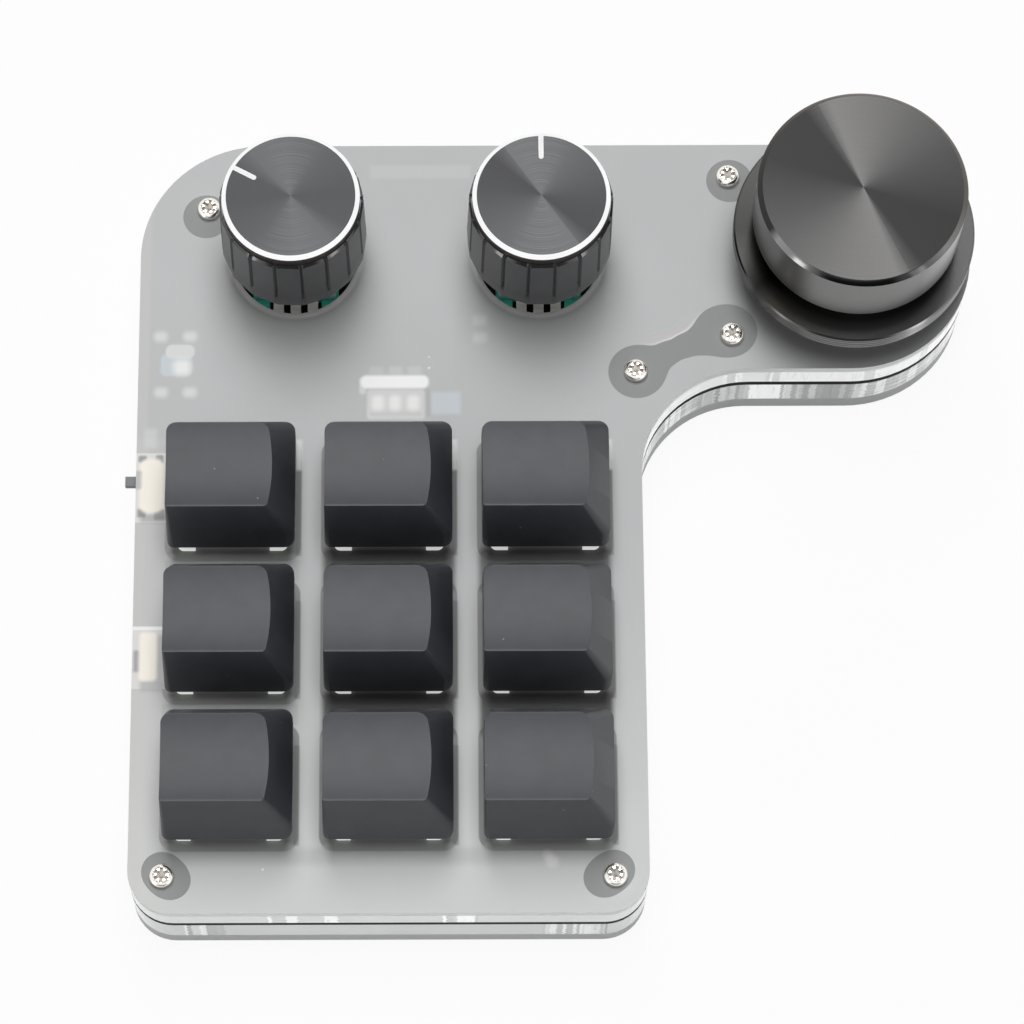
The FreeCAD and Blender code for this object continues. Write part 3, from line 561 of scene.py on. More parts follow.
def frosted_sheet_finish():
    """Frosted sheet. What lies under it shows as soft pale and dark shapes, and painted shadows
    and light lie on it.
    """
    sheet = Finish("frosted_sheet", SHEET_GREY, 0.45, IOR=1.49)
    sheet.grain(2500.0, 0.08, 0.01)
    flat = sheet.vector("MULTIPLY", sheet.place, (1, 1, 0))
    split = sheet.node("SeparateXYZ")
    sheet.link(sheet.place, split.inputs["Vector"])
    # Painted light: the sheet grows paler towards the front
    painted_light_to_front = sheet.level(split.outputs["Y"], 0.0, -50 * MM)
    base = sheet.mixed(sheet.mottle(60.0, 0.02), painted_light_to_front, FRONT_PAINTED_LIGHT)
    # Key wells: one cell is painted and repeated over the key field
    cell, field = key_cell(sheet, flat)
    for low, high, corner, soft, color, amount in WELL_SHAPES:
        mask = slab(sheet, cell, low, high, corner, soft)
        base = sheet.mixed(base, sheet.math("MULTIPLY", mask, field), color, amount)
    shadow_strips = None
    for low, high, corner, soft, color, amount in SHOW_THROUGH:
        mask = slab(sheet, flat, low, high, corner, soft)
        base = sheet.mixed(base, mask, color, amount)
        if color == STRIP_SHADE:
            shadow_strips = mask if shadow_strips is None else sheet.math("MAXIMUM", shadow_strips, mask)
    # The painted shadow strips do not shine
    shine = sheet.level(shadow_strips, 1.6, 0.0, soft=False)
    sheet.link(sheet.math("MULTIPLY", shine, 0.5), sheet.shader.inputs["Specular IOR Level"])
    # Painted shadow on the sheet in front of the small knobs, painted light on the rims of the
    # encoder holes, and painted shadow on the sheet under the large knob
    for x in ENCODER_X[:2]:
        knob_painted_shadow = spot(sheet, flat, (x, ENCODER_Y - 3.5), 12.0, 4.0)
        base = sheet.mixed(base, knob_painted_shadow, (0.16, 0.16, 0.16), 0.22)
    for x in ENCODER_X:
        base = sheet.mixed(base, spot(sheet, flat, (x, ENCODER_Y), 9.75, 0.35), WHITE_GLOW, 0.85)
    knob_painted_shadow = spot(sheet, flat, (ENCODER_X[2], ENCODER_Y - 1.0), 18.5, 3.5)
    base = sheet.mixed(base, knob_painted_shadow, (0.16, 0.16, 0.16), 0.55)
    # Darker patches where the sheet lies flat on the clear frame at the screws
    pull = wet_patch(sheet, flat, WET_DROPS)
    inside = sheet.level(pull, 0.97, 1.03)
    base = sheet.mixed(base, inside, WET_GREY, 0.92)
    fringes = sheet.ramp(pull, FRINGE_STOPS)
    near_neck = spot(sheet, flat, (17.6, 29.2), 3.6, 2.6)
    outside = sheet.math("SUBTRACT", 1.0, inside)
    base = sheet.mixed(base, sheet.math("MULTIPLY", near_neck, outside), fringes, 0.8)
    for x, y, reach, amount in SHEET_SPECKS:
        base = sheet.mixed(base, spot(sheet, flat, (x, y), reach, reach * 0.6), WHITE_GLOW, amount)
    # The sawn side of the sheet is paler than its face
    side = sheet.level(split.outputs["Z"], (DECK_Z - 0.02) * MM, (DECK_Z - 0.06) * MM)
    return sheet.paint(sheet.mixed(base, side, (0.72, 0.74, 0.74)))


# Where painted light and dark streaks run along the clear edges: the inner curve and the arm's end
STREAKED = (
    ((11.0, 2.0), (21.5, 21.0), 0.8),
    ((47.0, 18.0), (62.0, 60.0), 1.2),
)


def clear_frame_finish(name, plain, stops, scale, patches):
    """Clear plastic. Its sawn edge is pale, with painted reflection blocks and glints in places,
    and a painted glow.
    """
    made = Finish(name, plain, 0.16, IOR=1.49, Transmission_Weight=0.12)
    made.grain(160.0, 0.2, 0.06, 2.0)
    ragged = made.node("TexNoise", Scale=700.0, Detail=4.0)
    made.link(made.vector("MULTIPLY", made.place, (0.3, 0.3, 4.5)), ragged.inputs["Vector"])
    shift = made.vector("SUBTRACT", ragged.outputs["Color"], (0.5, 0.5, 0.5))
    shift = made.vector("MULTIPLY", shift, (1.1 * MM, 0, 0))
    moved = made.vector("ADD", made.vector("MULTIPLY", made.place, (1, 1, 0)), shift)
    cells = made.node("TexVoronoi", Scale=scale)
    made.link(moved, cells.inputs["Vector"])
    split = made.node("SeparateColor")
    made.link(cells.outputs["Color"], split.inputs["Color"])
    blocks = made.ramp(split.outputs["Red"], stops)
    base = made.mottle(90.0, 0.05)
    shown = None
    for low, high, soft, color, amount in patches:
        mask = slab(made, moved, low, high, 0.05, soft)
        base = made.mixed(base, mask, blocks if color is None else color, amount)
        if color is None:
            shown = mask if shown is None else made.math("MAXIMUM", shown, mask)
    # Painted glints: fine upright lines among the blocks, and painted light and dark streaks along
    # the edge in places
    upright = made.level(made.noise(1900.0, 2.0, (1.0, 1.0, 0.15)), 0.53, 0.68)
    base = made.mixed(base, made.math("MULTIPLY", upright, shown), stops[0][1], 0.3)
    along = made.noise(2600.0, 2.0, (0.05, 0.05, 1.0))
    for low, high, soft in STREAKED:
        mask = slab(made, moved, low, high, 0.05, soft)
        dark = made.math("MULTIPLY", mask, made.level(along, 0.52, 0.62))
        base = made.mixed(base, dark, stops[1][1], 0.55)
        light = made.math("MULTIPLY", mask, made.level(along, 0.48, 0.38))
        base = made.mixed(base, light, (1.0, 1.0, 1.0), 0.6)
    # Painted glow: the edge colour is also given out as light at the sawn edge
    made.link(base, made.shader.inputs["Emission Color"])
    made.shader.inputs["Emission Strength"].default_value = 0.32
    return made.paint(base)


def housing_white_finish():
    """White switch housing. Its front lugs beside the keycap get a painted glow."""
    made = Finish("housing_white", (0.80, 0.80, 0.78), 0.45)
    made.grain(900.0, 0.15)
    base = made.mottle(150.0, 0.03)
    flat = made.vector("MULTIPLY", made.place, (1, 1, 0))
    cell, field = key_cell(made, flat)
    # Painted glow on the front lugs of each key
    lit = slab(made, cell, (-8.6, -9.2), (8.6, -6.4), 0.1, 0.2)
    glow = made.math("MULTIPLY", made.math("MULTIPLY", lit, field), 0.75)
    made.link(base, made.shader.inputs["Emission Color"])
    made.link(glow, made.shader.inputs["Emission Strength"])
    return made.paint(base)


def dusty_finish(name, color, roughness, spread, grain, scale, **sockets):
    """Dark plastic with fine grain and a few pale specks of dust."""
    made = Finish(name, color, roughness, **sockets)
    made.grain(scale, grain)
    base = made.mottle(300.0, spread)
    cells = made.node("TexVoronoi", Scale=230.0)
    made.link(made.place, cells.inputs["Vector"])
    specks = made.level(cells.outputs["Distance"], 0.035, 0.02)
    return made.paint(made.mixed(base, specks, (0.30, 0.30, 0.30), 0.7))


frosted_sheet = frosted_sheet_finish()
frosted_base = plain_finish("frosted_base", (0.36, 0.365, 0.37), 0.45, 0.04, 0.1, 600.0)
# Painted reflections and glints on the clear edges: low corner, high corner, softness, colour
# (None for blocks of several tones) and amount
UPPER_REFLECTION_TONES = (
    (0.0, (0.45, 0.46, 0.44)),
    (0.30, (0.70, 0.71, 0.66)),
    (0.45, (0.97, 0.98, 0.95)),
    (1.0, (1.0, 1.0, 1.0)),
)
UPPER_REFLECTION_PATCHES = (
    ((12.0, 2.0), (62.0, 60.0), 1.5, (0.97, 0.98, 0.98), 1.0),
    ((-40.2, -59.0), (-36.1, -56.0), 0.1, None, 0.8),
    ((-32.4, -59.0), (-30.5, -56.0), 0.1, None, 0.9),
    ((-15.9, -59.0), (-14.5, -56.0), 0.1, None, 1.0),
    ((-13.9, -59.0), (-11.0, -56.0), 0.1, None, 1.0),
    ((25.2, 18.0), (27.8, 24.0), 0.2, None, 0.8),
    ((31.5, 21.0), (62.0, 42.0), 0.5, None, 0.8),
    ((31.5, 42.5), (62.0, 60.0), 1.5, None, 0.3),
    ((-62.0, 10.0), (-40.0, 60.0), 1.5, None, 0.25),
)
LOWER_REFLECTION_TONES = (
    (0.0, (0.10, 0.105, 0.10)),
    (0.30, (0.20, 0.205, 0.20)),
    (0.45, (0.40, 0.41, 0.40)),
    (0.60, (0.60, 0.61, 0.60)),
    (0.72, (0.97, 0.98, 0.98)),
    (1.0, (1.0, 1.0, 1.0)),
)
LOWER_REFLECTION_PATCHES = (
    ((-52.0, -59.0), (-46.5, -56.0), 0.3, None, 0.8),
    ((-1.5, -59.0), (6.4, -56.0), 0.3, None, 0.7),
    ((6.95, -59.0), (7.15, -56.0), 0.05, (0.10, 0.10, 0.10), 0.8),
    ((12.0, 6.0), (62.0, 42.0), 0.5, None, 0.9),
    ((12.0, 42.5), (62.0, 60.0), 1.5, None, 0.35),
    ((22.6, 20.0), (29.2, 25.0), 0.2, (0.22, 0.22, 0.215), 0.6),
    ((29.3, 20.0), (33.9, 25.0), 0.1, (1.0, 1.0, 1.0), 1.0),
    ((36.8, 20.0), (45.6, 25.0), 0.4, (0.25, 0.25, 0.245), 0.6),
    ((46.5, 18.0), (62.0, 60.0), 1.2, (0.70, 0.71, 0.70), 0.55),
    ((-62.0, 10.0), (-30.0, 60.0), 1.5, None, 0.3),
)
upper_clear = clear_frame_finish(
    "upper_clear", (0.54, 0.56, 0.56), UPPER_REFLECTION_TONES, 620.0, UPPER_REFLECTION_PATCHES
)
lower_clear = clear_frame_finish(
    "lower_clear", (0.42, 0.435, 0.43), LOWER_REFLECTION_TONES, 1100.0, LOWER_REFLECTION_PATCHES
)
board_black = plain_finish(
    "board_black", (0.010, 0.010, 0.011), 0.6, 0.2, 0.1, Specular_IOR_Level=0.05
)
nickel = plain_finish("nickel", (0.93, 0.90, 0.85), 0.22, 0.04, 0.05, 700.0, Metallic=1.0)
# Painted shade: the screw recesses get a duller grey-brown than the head
recess_painted_shade = plain_finish("recess_painted_shade", (0.62, 0.58, 0.53), 0.5, 0.25, 0.1, 3600.0)
feet_rubber = plain_finish("feet_rubber", (0.035, 0.035, 0.035), 0.8, 0.2, 0.4)
keycap_plastic = dusty_finish(
    "keycap_plastic", (0.044, 0.047, 0.054), 0.42, 0.08, 0.3, 5200.0, Specular_IOR_Level=0.32
)
keycap_painted_lit_side = plain_finish("keycap_painted_lit_side", (0.105, 0.108, 0.114), 0.42, 0.08, 0.3)
stem_plastic = plain_finish("stem_plastic", (0.20, 0.06, 0.02), 0.4)
housing_white = housing_white_finish()
housing_smoke = plain_finish("housing_smoke", (0.03, 0.03, 0.032), 0.3)
contact_metal = plain_finish("contact_metal", (0.75, 0.60, 0.30), 0.3, Metallic=1.0)
socket_black = plain_finish("socket_black", (0.02, 0.02, 0.02), 0.5)
encoder_teal = plain_finish("encoder_teal", (0.03, 0.48, 0.36), 0.4)
plain_steel = plain_finish("plain_steel", (0.55, 0.55, 0.54), 0.3, Metallic=1.0)
tinned = plain_finish("tinned", (0.90, 0.89, 0.84), 0.3, Metallic=0.25)
knob_plastic = dusty_finish("knob_plastic", (0.050, 0.051, 0.054), 0.34, 0.08, 0.12, 1500.0)
knob_chamfer = plain_finish(
    "knob_chamfer", (0.018, 0.018, 0.019), 0.14, 0.08, 0.08, Specular_IOR_Level=0.9
)
disc_side = plain_finish(
    "disc_side", (0.020, 0.014, 0.011), 0.35, 0.2, 0.1, Specular_IOR_Level=0.25
)
polished_bevel = plain_finish("polished_bevel", (0.96, 0.96, 0.97), 0.2, 0.04, 0.05, Metallic=1.0)
# The large knob's finishes paint highlights and reflections round its axis
anodised_black = round_finish(
    "anodised_black",
    ENCODER_X[2],
    ENCODER_Y,
    (
        (0.0, (0.06, 0.06, 0.058)),
        (0.06, (0.12, 0.12, 0.118)),
        (0.10, (0.15, 0.15, 0.145)),
        (0.135, (0.060, 0.058, 0.052)),
        (0.17, (0.14, 0.14, 0.138)),
        (0.25, (0.15, 0.15, 0.148)),
        (0.34, (0.15, 0.15, 0.148)),
        (0.41, (0.38, 0.38, 0.375)),
        (0.46, (0.16, 0.16, 0.158)),
        (1.0, (0.06, 0.06, 0.058)),
    ),
    0.3,
    Metallic=0.85,
)
anodised_flange = round_finish(
    "anodised_flange",
    ENCODER_X[2],
    ENCODER_Y,
    (
        (0.0, (0.012, 0.012, 0.011)),
        (0.05, (0.022, 0.022, 0.020)),
        (0.09, (0.008, 0.008, 0.008)),
        (0.13, (0.060, 0.058, 0.050)),
        (0.18, (0.080, 0.079, 0.075)),
        (0.25, (0.11, 0.11, 0.11)),
        (0.36, (0.060, 0.060, 0.060)),
        (0.50, (0.060, 0.060, 0.060)),
        (1.0, (0.012, 0.012, 0.011)),
    ),
    0.22,
    Metallic=0.85,
)
anodised_bevel = round_finish(
    "anodised_bevel",
    ENCODER_X[2],
    ENCODER_Y,
    (
        (0.0, (0.04, 0.04, 0.04)),
        (0.07, (0.035, 0.035, 0.035)),
        (0.09, (0.26, 0.26, 0.26)),
        (0.15, (0.16, 0.16, 0.16)),
        (0.18, (0.05, 0.05, 0.05)),
        (0.33, (0.04, 0.04, 0.04)),
        (0.39, (0.22, 0.22, 0.22)),
        (0.47, (0.12, 0.11, 0.10)),
        (0.75, (0.12, 0.10, 0.09)),
        (1.0, (0.04, 0.04, 0.04)),
    ),
    0.14,
    Metallic=1.0,
)
fine_edge = round_finish(
    "fine_edge",
    ENCODER_X[2],
    ENCODER_Y,
    (
        (0.0, (0.05, 0.05, 0.05)),
        (0.06, (0.12, 0.12, 0.115)),
        (0.09, (0.03, 0.03, 0.03)),
        (0.13, (0.06, 0.06, 0.055)),
        (0.20, (0.14, 0.14, 0.14)),
        (0.32, (0.20, 0.20, 0.20)),
        (0.50, (0.12, 0.12, 0.12)),
        (1.0, (0.05, 0.05, 0.05)),
    ),
    0.2,
    Metallic=1.0,
)
cream_plastic = plain_finish("cream_plastic", (0.86, 0.74, 0.62), 0.45, 0.03)
slider_plastic = plain_finish("slider_plastic", (0.10, 0.105, 0.11), 0.4)
chip_plastic = plain_finish("chip_plastic", (0.02, 0.02, 0.022), 0.5)
battery_foil = plain_finish("battery_foil", (0.45, 0.46, 0.48), 0.35, Metallic=0.7)
pointer_white = plain_finish("pointer_white", (0.92, 0.92, 0.92), 0.5, 0.02)
# Turned faces: painted highlights in light and dark sectors of half a turn, from the start angle
# on
SMALL_HIGHLIGHT_SECTORS_1 = (
    (0.0, (0.036, 0.037, 0.038)),
    (0.10, (0.024, 0.025, 0.026)),
    (0.30, (0.023, 0.024, 0.025)),
    (0.55, (0.029, 0.030, 0.031)),
    (0.80, (0.040, 0.041, 0.043)),
    (1.0, (0.038, 0.039, 0.041)),
)
SMALL_HIGHLIGHT_SECTORS_2 = (
    (0.0, (0.034, 0.035, 0.036)),
    (0.08, (0.020, 0.020, 0.021)),
    (0.25, (0.021, 0.022, 0.023)),
    (0.50, (0.031, 0.032, 0.033)),
    (0.75, (0.042, 0.043, 0.044)),
    (1.0, (0.045, 0.046, 0.047)),
)
LARGE_HIGHLIGHT_SECTORS = (
    (0.0, (0.036, 0.036, 0.036)),
    (0.05, (0.016, 0.016, 0.016)),
    (0.25, (0.016, 0.016, 0.016)),
    (0.50, (0.032, 0.032, 0.032)),
    (0.80, (0.064, 0.063, 0.062)),
    (0.96, (0.076, 0.075, 0.074)),
    (1.0, (0.048, 0.048, 0.048)),
)
spun_1 = spun_finish(
    "spun_disc_1", ENCODER_X[0], ENCODER_Y, SMALL_HIGHLIGHT_SECTORS_1, 132.0, 6500.0, 0.35
)
spun_2 = spun_finish(
    "spun_disc_2", ENCODER_X[1], ENCODER_Y, SMALL_HIGHLIGHT_SECTORS_2, 125.0, 6500.0, 0.35
)
spun_3 = spun_finish(
    "spun_disc_3", ENCODER_X[2], ENCODER_Y, LARGE_HIGHLIGHT_SECTORS, 115.0, 5200.0, 0.12
)

# CAD nodes that keep their own shape get their finish
NODE_FINISHES = {
    "bottom_plate": frosted_base,
    "lower_frame": lower_clear,
    "circuit_board": board_black,
    "upper_frame": upper_clear,
    "top_sheet": frosted_sheet,
    "case_nuts": nickel,
    "rubber_feet": feet_rubber,
    "switch_lower_housings": housing_white,
    "switch_upper_housings": housing_smoke,
    "switch_contacts": contact_metal,
    "switch_sockets": socket_black,
    "encoder_bases": encoder_teal,
    "encoder_covers": plain_steel,
    "encoder_terminals": tinned,
    "slide_switch_shell": plain_steel,
    "slide_switch_slider": slider_plastic,
    "side_button_plunger": slider_plastic,
    "usb_shell": plain_steel,
    "usb_tongue": chip_plastic,
    "controller_module": chip_plastic,
    "battery": battery_foil,
    "press_switch": plain_steel,
    "board_connector": cream_plastic,
    "board_parts": chip_plastic,
    "large_knob_set_screw": plain_steel,
    "slide_switch_body": cream_plastic,
    "side_button_body": cream_plastic,
    "case_screws": nickel,
    "large_knob": anodised_black,
}
for index in range(3):
    NODE_FINISHES["encoder_rotor_" + str(index + 1)] = socket_black
    NODE_FINISHES["encoder_shaft_" + str(index + 1)] = plain_steel
for index in range(2):
    NODE_FINISHES["knob_body_" + str(index + 1)] = knob_plastic
    NODE_FINISHES["knob_disc_" + str(index + 1)] = polished_bevel
for label, key_x, key_y in KEY_PLACES:
    NODE_FINISHES["keycap_" + label] = keycap_plastic
    NODE_FINISHES["stem_" + label] = stem_plastic
for node_name, finish in NODE_FINISHES.items():
    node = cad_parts[node_name]
    node.data.materials.clear()
    node.data.materials.append(finish)


# Keycaps: one is shaped, then copied to the nine places
KEY_SIZE = 18.1
KEYCAP_Z = 21.05
KEYCAP_HEIGHT = 9.0
LEFT_INSET = 0.15
RIGHT_INSET = 3.62
FRONT_INSET = 2.96
REAR_INSET = 2.57
DISH_RADIUS = 24.0
DISH_DEPTH = 0.8
KEY_WALL = 1.4
KEY_ROOF = 2.3
RIGHT_BOW = 0.17
BOW_STEPS = 10
# Corner radii of the keycap at its base and at its top, by side
KEY_CORNERS = (
    (-1, 1, 1.5, 1.35),
    (-1, -1, 1.0, 0.3),
    (1, 1, 1.5, 1.3),
    (1, -1, 1.4, 0.6),
)
# The dish is a little off the middle, so that its facets keep clear of the bow's cuts
DISH_SHIFT = 0.06
# The rear and right faces stand upright up to this height and lean in above it
UPRIGHT = 2.4
# Points this near the rear or right side belong to that face
FACE_BAND = 3.2
# The bow ends this far from the corners of the top
BOW_END = 0.9
KEY_EDGE_ROUND = 0.22
POST_RADIUS = 2.75
POST_Z = 22.75


def shape_keycap():
    half = KEY_SIZE / 2
    top_z = KEYCAP_Z + KEYCAP_HEIGHT
    cap = block((-half, -half, KEYCAP_Z), (half, half, top_z), "keycap")
    top_width = KEY_SIZE - LEFT_INSET - RIGHT_INSET
    top_depth = KEY_SIZE - FRONT_INSET - REAR_INSET
    top_x = (LEFT_INSET - RIGHT_INSET) / 2
    top_y = (FRONT_INSET - REAR_INSET) / 2
    pick_faces(cap, lambda centre, normal: normal.z > 0.9)
    bpy.ops.transform.resize(value=(top_width / KEY_SIZE, top_depth / KEY_SIZE, 1))
    bpy.ops.transform.translate(value=(top_x * MM, top_y * MM, 0))
    object_mode()
    # Each upright corner is rounded by its base radius, then drawn in at the top
    for side_x, side_y, base_radius, top_radius in KEY_CORNERS:
        pick_edges(
            cap,
            lambda a, b: abs(a.z - b.z) > 0.5 * KEYCAP_HEIGHT * MM
            and (a.x + b.x) * side_x > 0
            and (a.y + b.y) * side_y > 0,
        )
        bpy.ops.mesh.bevel(offset=base_radius * MM, segments=8, affect="EDGES")
        object_mode()
        corner_x = top_x + side_x * top_width / 2
        corner_y = top_y + side_y * top_depth / 2
        pick_points(
            cap,
            lambda point: point.z > (top_z - 0.1) * MM
            and abs(point.x - corner_x * MM) < 1.5 * base_radius * MM
            and abs(point.y - corner_y * MM) < 1.5 * base_radius * MM,
        )
        share = top_radius / base_radius
        bpy.ops.transform.resize(
            value=(share, share, 1), center_override=(corner_x * MM, corner_y * MM, top_z * MM)
        )
        object_mode()
    # The rear face, then the right face, is made upright in its lower part
    edit(cap)
    bpy.ops.mesh.select_all(action="SELECT")
    break_z = KEYCAP_Z + UPRIGHT
    bpy.ops.mesh.bisect(plane_co=(0, 0, break_z * MM), plane_no=(0, 0, 1))
    object_mode()
    for axis, inset in ((1, REAR_INSET), (0, RIGHT_INSET)):
        pick_points(
            cap,
            lambda point: abs(point.z - break_z * MM) < 0.02 * MM
            and point[axis] > (half - FACE_BAND) * MM,
        )
        shift = [0, 0, 0]
        shift[axis] = inset * UPRIGHT / KEYCAP_HEIGHT * MM
        bpy.ops.transform.translate(value=shift)
        object_mode()
    # The right face is cut from front to rear, then its upper edge bows outward
    bow_half = top_depth / 2 - BOW_END
    for step in range(1 - BOW_STEPS, BOW_STEPS):
        pick_faces(cap, lambda centre, normal: normal.x > 0.8 and abs(normal.y) < 0.01)
        cut_y = top_y + step / BOW_STEPS * bow_half
        bpy.ops.mesh.bisect(plane_co=(0, cut_y * MM, 0), plane_no=(0, 1, 0))
        object_mode()
    for step in range(1 - BOW_STEPS, BOW_STEPS):
        cut_y = top_y + step / BOW_STEPS * bow_half
        pick_points(
            cap,
            lambda point: point.z > (top_z - 0.1) * MM
            and point.x > (top_x + top_width / 2 - 0.2) * MM
            and abs(point.y - cut_y * MM) < 0.05 * MM,
        )
        reach = RIGHT_BOW * (1 - (step / BOW_STEPS) ** 2)
        bpy.ops.transform.translate(value=(reach * MM, 0, 0))
        object_mode()
    # Shallow dish that runs from left to right
    nothing_selected()
    bpy.ops.mesh.primitive_cylinder_add(
        vertices=300,
        radius=DISH_RADIUS * MM,
        depth=3 * KEY_SIZE * MM,
        rotation=(0, math.pi / 2, 0),
        location=(0, (top_y + DISH_SHIFT) * MM, (top_z + DISH_RADIUS - DISH_DEPTH) * MM),
    )
    tool = bpy.context.active_object
    settle(tool)
    carve(cap, tool)
    round_edges(cap, KEY_EDGE_ROUND, 3, 28.0)
    # Hollow underside with the post for the stem
    pick_faces(cap, lambda centre, normal: normal.z < -0.9 and centre.z < (KEYCAP_Z + 0.1) * MM)
    bpy.ops.mesh.dissolve_faces()
    bpy.ops.mesh.inset(thickness=KEY_WALL * MM)
    roof = KEYCAP_HEIGHT - KEY_ROOF
    share = roof / KEYCAP_HEIGHT
    hollow = KEY_SIZE - 2 * KEY_WALL
    bpy.ops.mesh.extrude_region_move(TRANSFORM_OT_translate={"value": (0, 0, roof * MM)})
    bpy.ops.transform.resize(
        value=(
            (hollow + (top_width - KEY_SIZE) * share) / hollow,
            (hollow + (top_depth - KEY_SIZE) * share) / hollow,
            1,
        ),
        center_override=(0, 0, 0),
    )
    bpy.ops.transform.translate(value=(top_x * share * MM, top_y * share * MM, 0))
    object_mode()
    smooth(cap, 30.0)
    even_shading(cap)
    post = bar(0, 0, POST_Z, POST_RADIUS, KEYCAP_Z + roof - POST_Z, 32, "post")
    smooth(post)
    return joined([cap, post], "keycap_shape")


keycap = shape_keycap()
for label, key_x, key_y in KEY_PLACES:
    one = copy_at(keycap, "key_top_" + label, key_x, key_y)
    finishes = [keycap_plastic]
    # Painted light: the free right sides of the last column get a paler finish, as if lit from the
    # right
    if label.endswith("c3"):
        finishes.append(keycap_painted_lit_side)
        for polygon in one.data.polygons:
            if polygon.normal.x > 0.6:
                polygon.material_index = 1
    finish_piece(one, finishes, "key_" + label, "keycap_plastic", "keycap_" + label)
bpy.data.objects.remove(keycap, do_unlink=True)

# Small knobs
KNOB_Z = 22.35
KNOB_RADIUS = 10.5
KNOB_SHOULDER_RADIUS = 10.32
KNOB_SHOULDER_Z = 35.3
KNOB_RIM_Z = 35.8
KNOB_RIM_RADIUS = 9.88
DISC_RADIUS = 9.79
DISC_TOP_Z = 37.85
DISC_BEVEL = 0.62
DISC_BEVEL_DROP = 0.4
POLISHED_DROP = 0.5
DISC_SEAT_Z = 35.45
GROOVES = 17
GROOVE_STEPS = 24
GROOVE_START_Z = 25.0
GROOVE_DEPTHS = (0.42, 0.24)
PANEL_SAG = 0.13
KNOB_HOLLOW_WALL = 5.9
# The knobs are hollow from below by this much, and the shaft ends there
HOLLOW_DEPTH = 4.2
POINTER_START = 5.6
POINTER_HALF_WIDTH = 0.36
POINTER_HEIGHT = 0.03
POINTER_ROUND = 0.34


def shape_knob_body():
    sides = GROOVES * GROOVE_STEPS
    body = turned(
        (
            (KNOB_RADIUS - 0.3, KNOB_Z),
            (KNOB_RADIUS - 0.05, KNOB_Z + 0.1),
            (KNOB_RADIUS, KNOB_Z + 0.35),
            (KNOB_RADIUS, GROOVE_START_Z - 0.15),
            (KNOB_RADIUS, GROOVE_START_Z + 0.1),
            (KNOB_RADIUS, GROOVE_START_Z + 0.5),
            (KNOB_SHOULDER_RADIUS, KNOB_SHOULDER_Z),
            (KNOB_RIM_RADIUS, KNOB_RIM_Z),
            (DISC_RADIUS + 0.03, KNOB_RIM_Z),
            (DISC_RADIUS + 0.03, DISC_SEAT_Z),
        ),
        sides,
        "knob_body_shape",
    )

    def at_step(point, step, low_z, high_z):
        """Is the point at this step from the nearest groove, between the two heights?"""
        if math.hypot(point.x, point.y) < (KNOB_RIM_RADIUS - 0.05) * MM:
            return False
        if not low_z * MM <= point.z <= high_z * MM:
            return False
        turn = math.atan2(point.y, point.x) / (2 * math.pi) * sides
        near = round(turn) % GROOVE_STEPS
        return min(near, GROOVE_STEPS - near) == step

    slope = (KNOB_RIM_Z - KNOB_SHOULDER_Z) / (KNOB_SHOULDER_RADIUS - KNOB_RIM_RADIUS)
    half_steps = GROOVE_STEPS // 2
    for step in range(half_steps + 1):
        # The panels between the grooves are flatter than the circle
        sag = PANEL_SAG * (1 - ((half_steps - step) / half_steps) ** 2)
        pick_points(body, lambda point: at_step(point, step, KNOB_Z - 1, KNOB_SHOULDER_Z + 0.1))
        share = 1 - sag / KNOB_RADIUS
        bpy.ops.transform.resize(value=(share, share, 1), center_override=(0, 0, 0))
        object_mode()
        pick_points(
            body,
            lambda point: at_step(point, step, KNOB_SHOULDER_Z - 0.1, KNOB_SHOULDER_Z + 0.1),
        )
        bpy.ops.transform.translate(value=(0, 0, sag * slope * MM))
        object_mode()
    # The grooves are drawn in, deepest at their middle line
    for step, depth in enumerate(GROOVE_DEPTHS):
        for low_z, high_z, share in (
            (GROOVE_START_Z + 0.05, GROOVE_START_Z + 0.15, 0.6),
            (GROOVE_START_Z + 0.4, KNOB_RIM_Z - 0.1, 1.0),
            (KNOB_RIM_Z - 0.1, KNOB_RIM_Z + 0.1, 0.2),
        ):
            pick_points(body, lambda point: at_step(point, step, low_z, high_z))
            scale = 1 - depth * share / KNOB_RADIUS
            bpy.ops.transform.resize(value=(scale, scale, 1), center_override=(0, 0, 0))
            object_mode()
    pick_faces(body, lambda centre, normal: normal.z < -0.9 and centre.z < (KNOB_Z + 0.1) * MM)
    bpy.ops.mesh.inset(thickness=KNOB_HOLLOW_WALL * MM)
    push(HOLLOW_DEPTH)
    object_mode()
    smooth(body, 32.0)
    return body


def shape_knob_disc():
    disc = turned(
        (
            (DISC_RADIUS, DISC_SEAT_Z),
            (DISC_RADIUS, DISC_TOP_Z - POLISHED_DROP - 0.08),
            (DISC_RADIUS - 0.05, DISC_TOP_Z - POLISHED_DROP - 0.04),
            (DISC_RADIUS, DISC_TOP_Z - POLISHED_DROP),
            (DISC_RADIUS, DISC_TOP_Z - DISC_BEVEL_DROP),
            (DISC_RADIUS - DISC_BEVEL, DISC_TOP_Z),
            (0.01, DISC_TOP_Z),
        ),
        160,
        "knob_disc_shape",
    )
    smooth(disc, 20.0)
    return disc


def shape_pointer(turn):
    low = (POINTER_START, -POINTER_HALF_WIDTH, DISC_TOP_Z)
    outer = DISC_RADIUS - DISC_BEVEL + 0.02
    line = block(low, (outer, POINTER_HALF_WIDTH, DISC_TOP_Z + POINTER_HEIGHT), "pointer")
    pick_edges(
        line, lambda a, b: abs(a.z - b.z) > 0.01 * MM and a.x < (POINTER_START + 0.1) * MM
    )
    bpy.ops.mesh.bevel(offset=POINTER_ROUND * MM, segments=5, affect="EDGES")
    object_mode()
    line.data.transform(Matrix.Rotation(math.radians(turn), 4, "Z"))
    return line


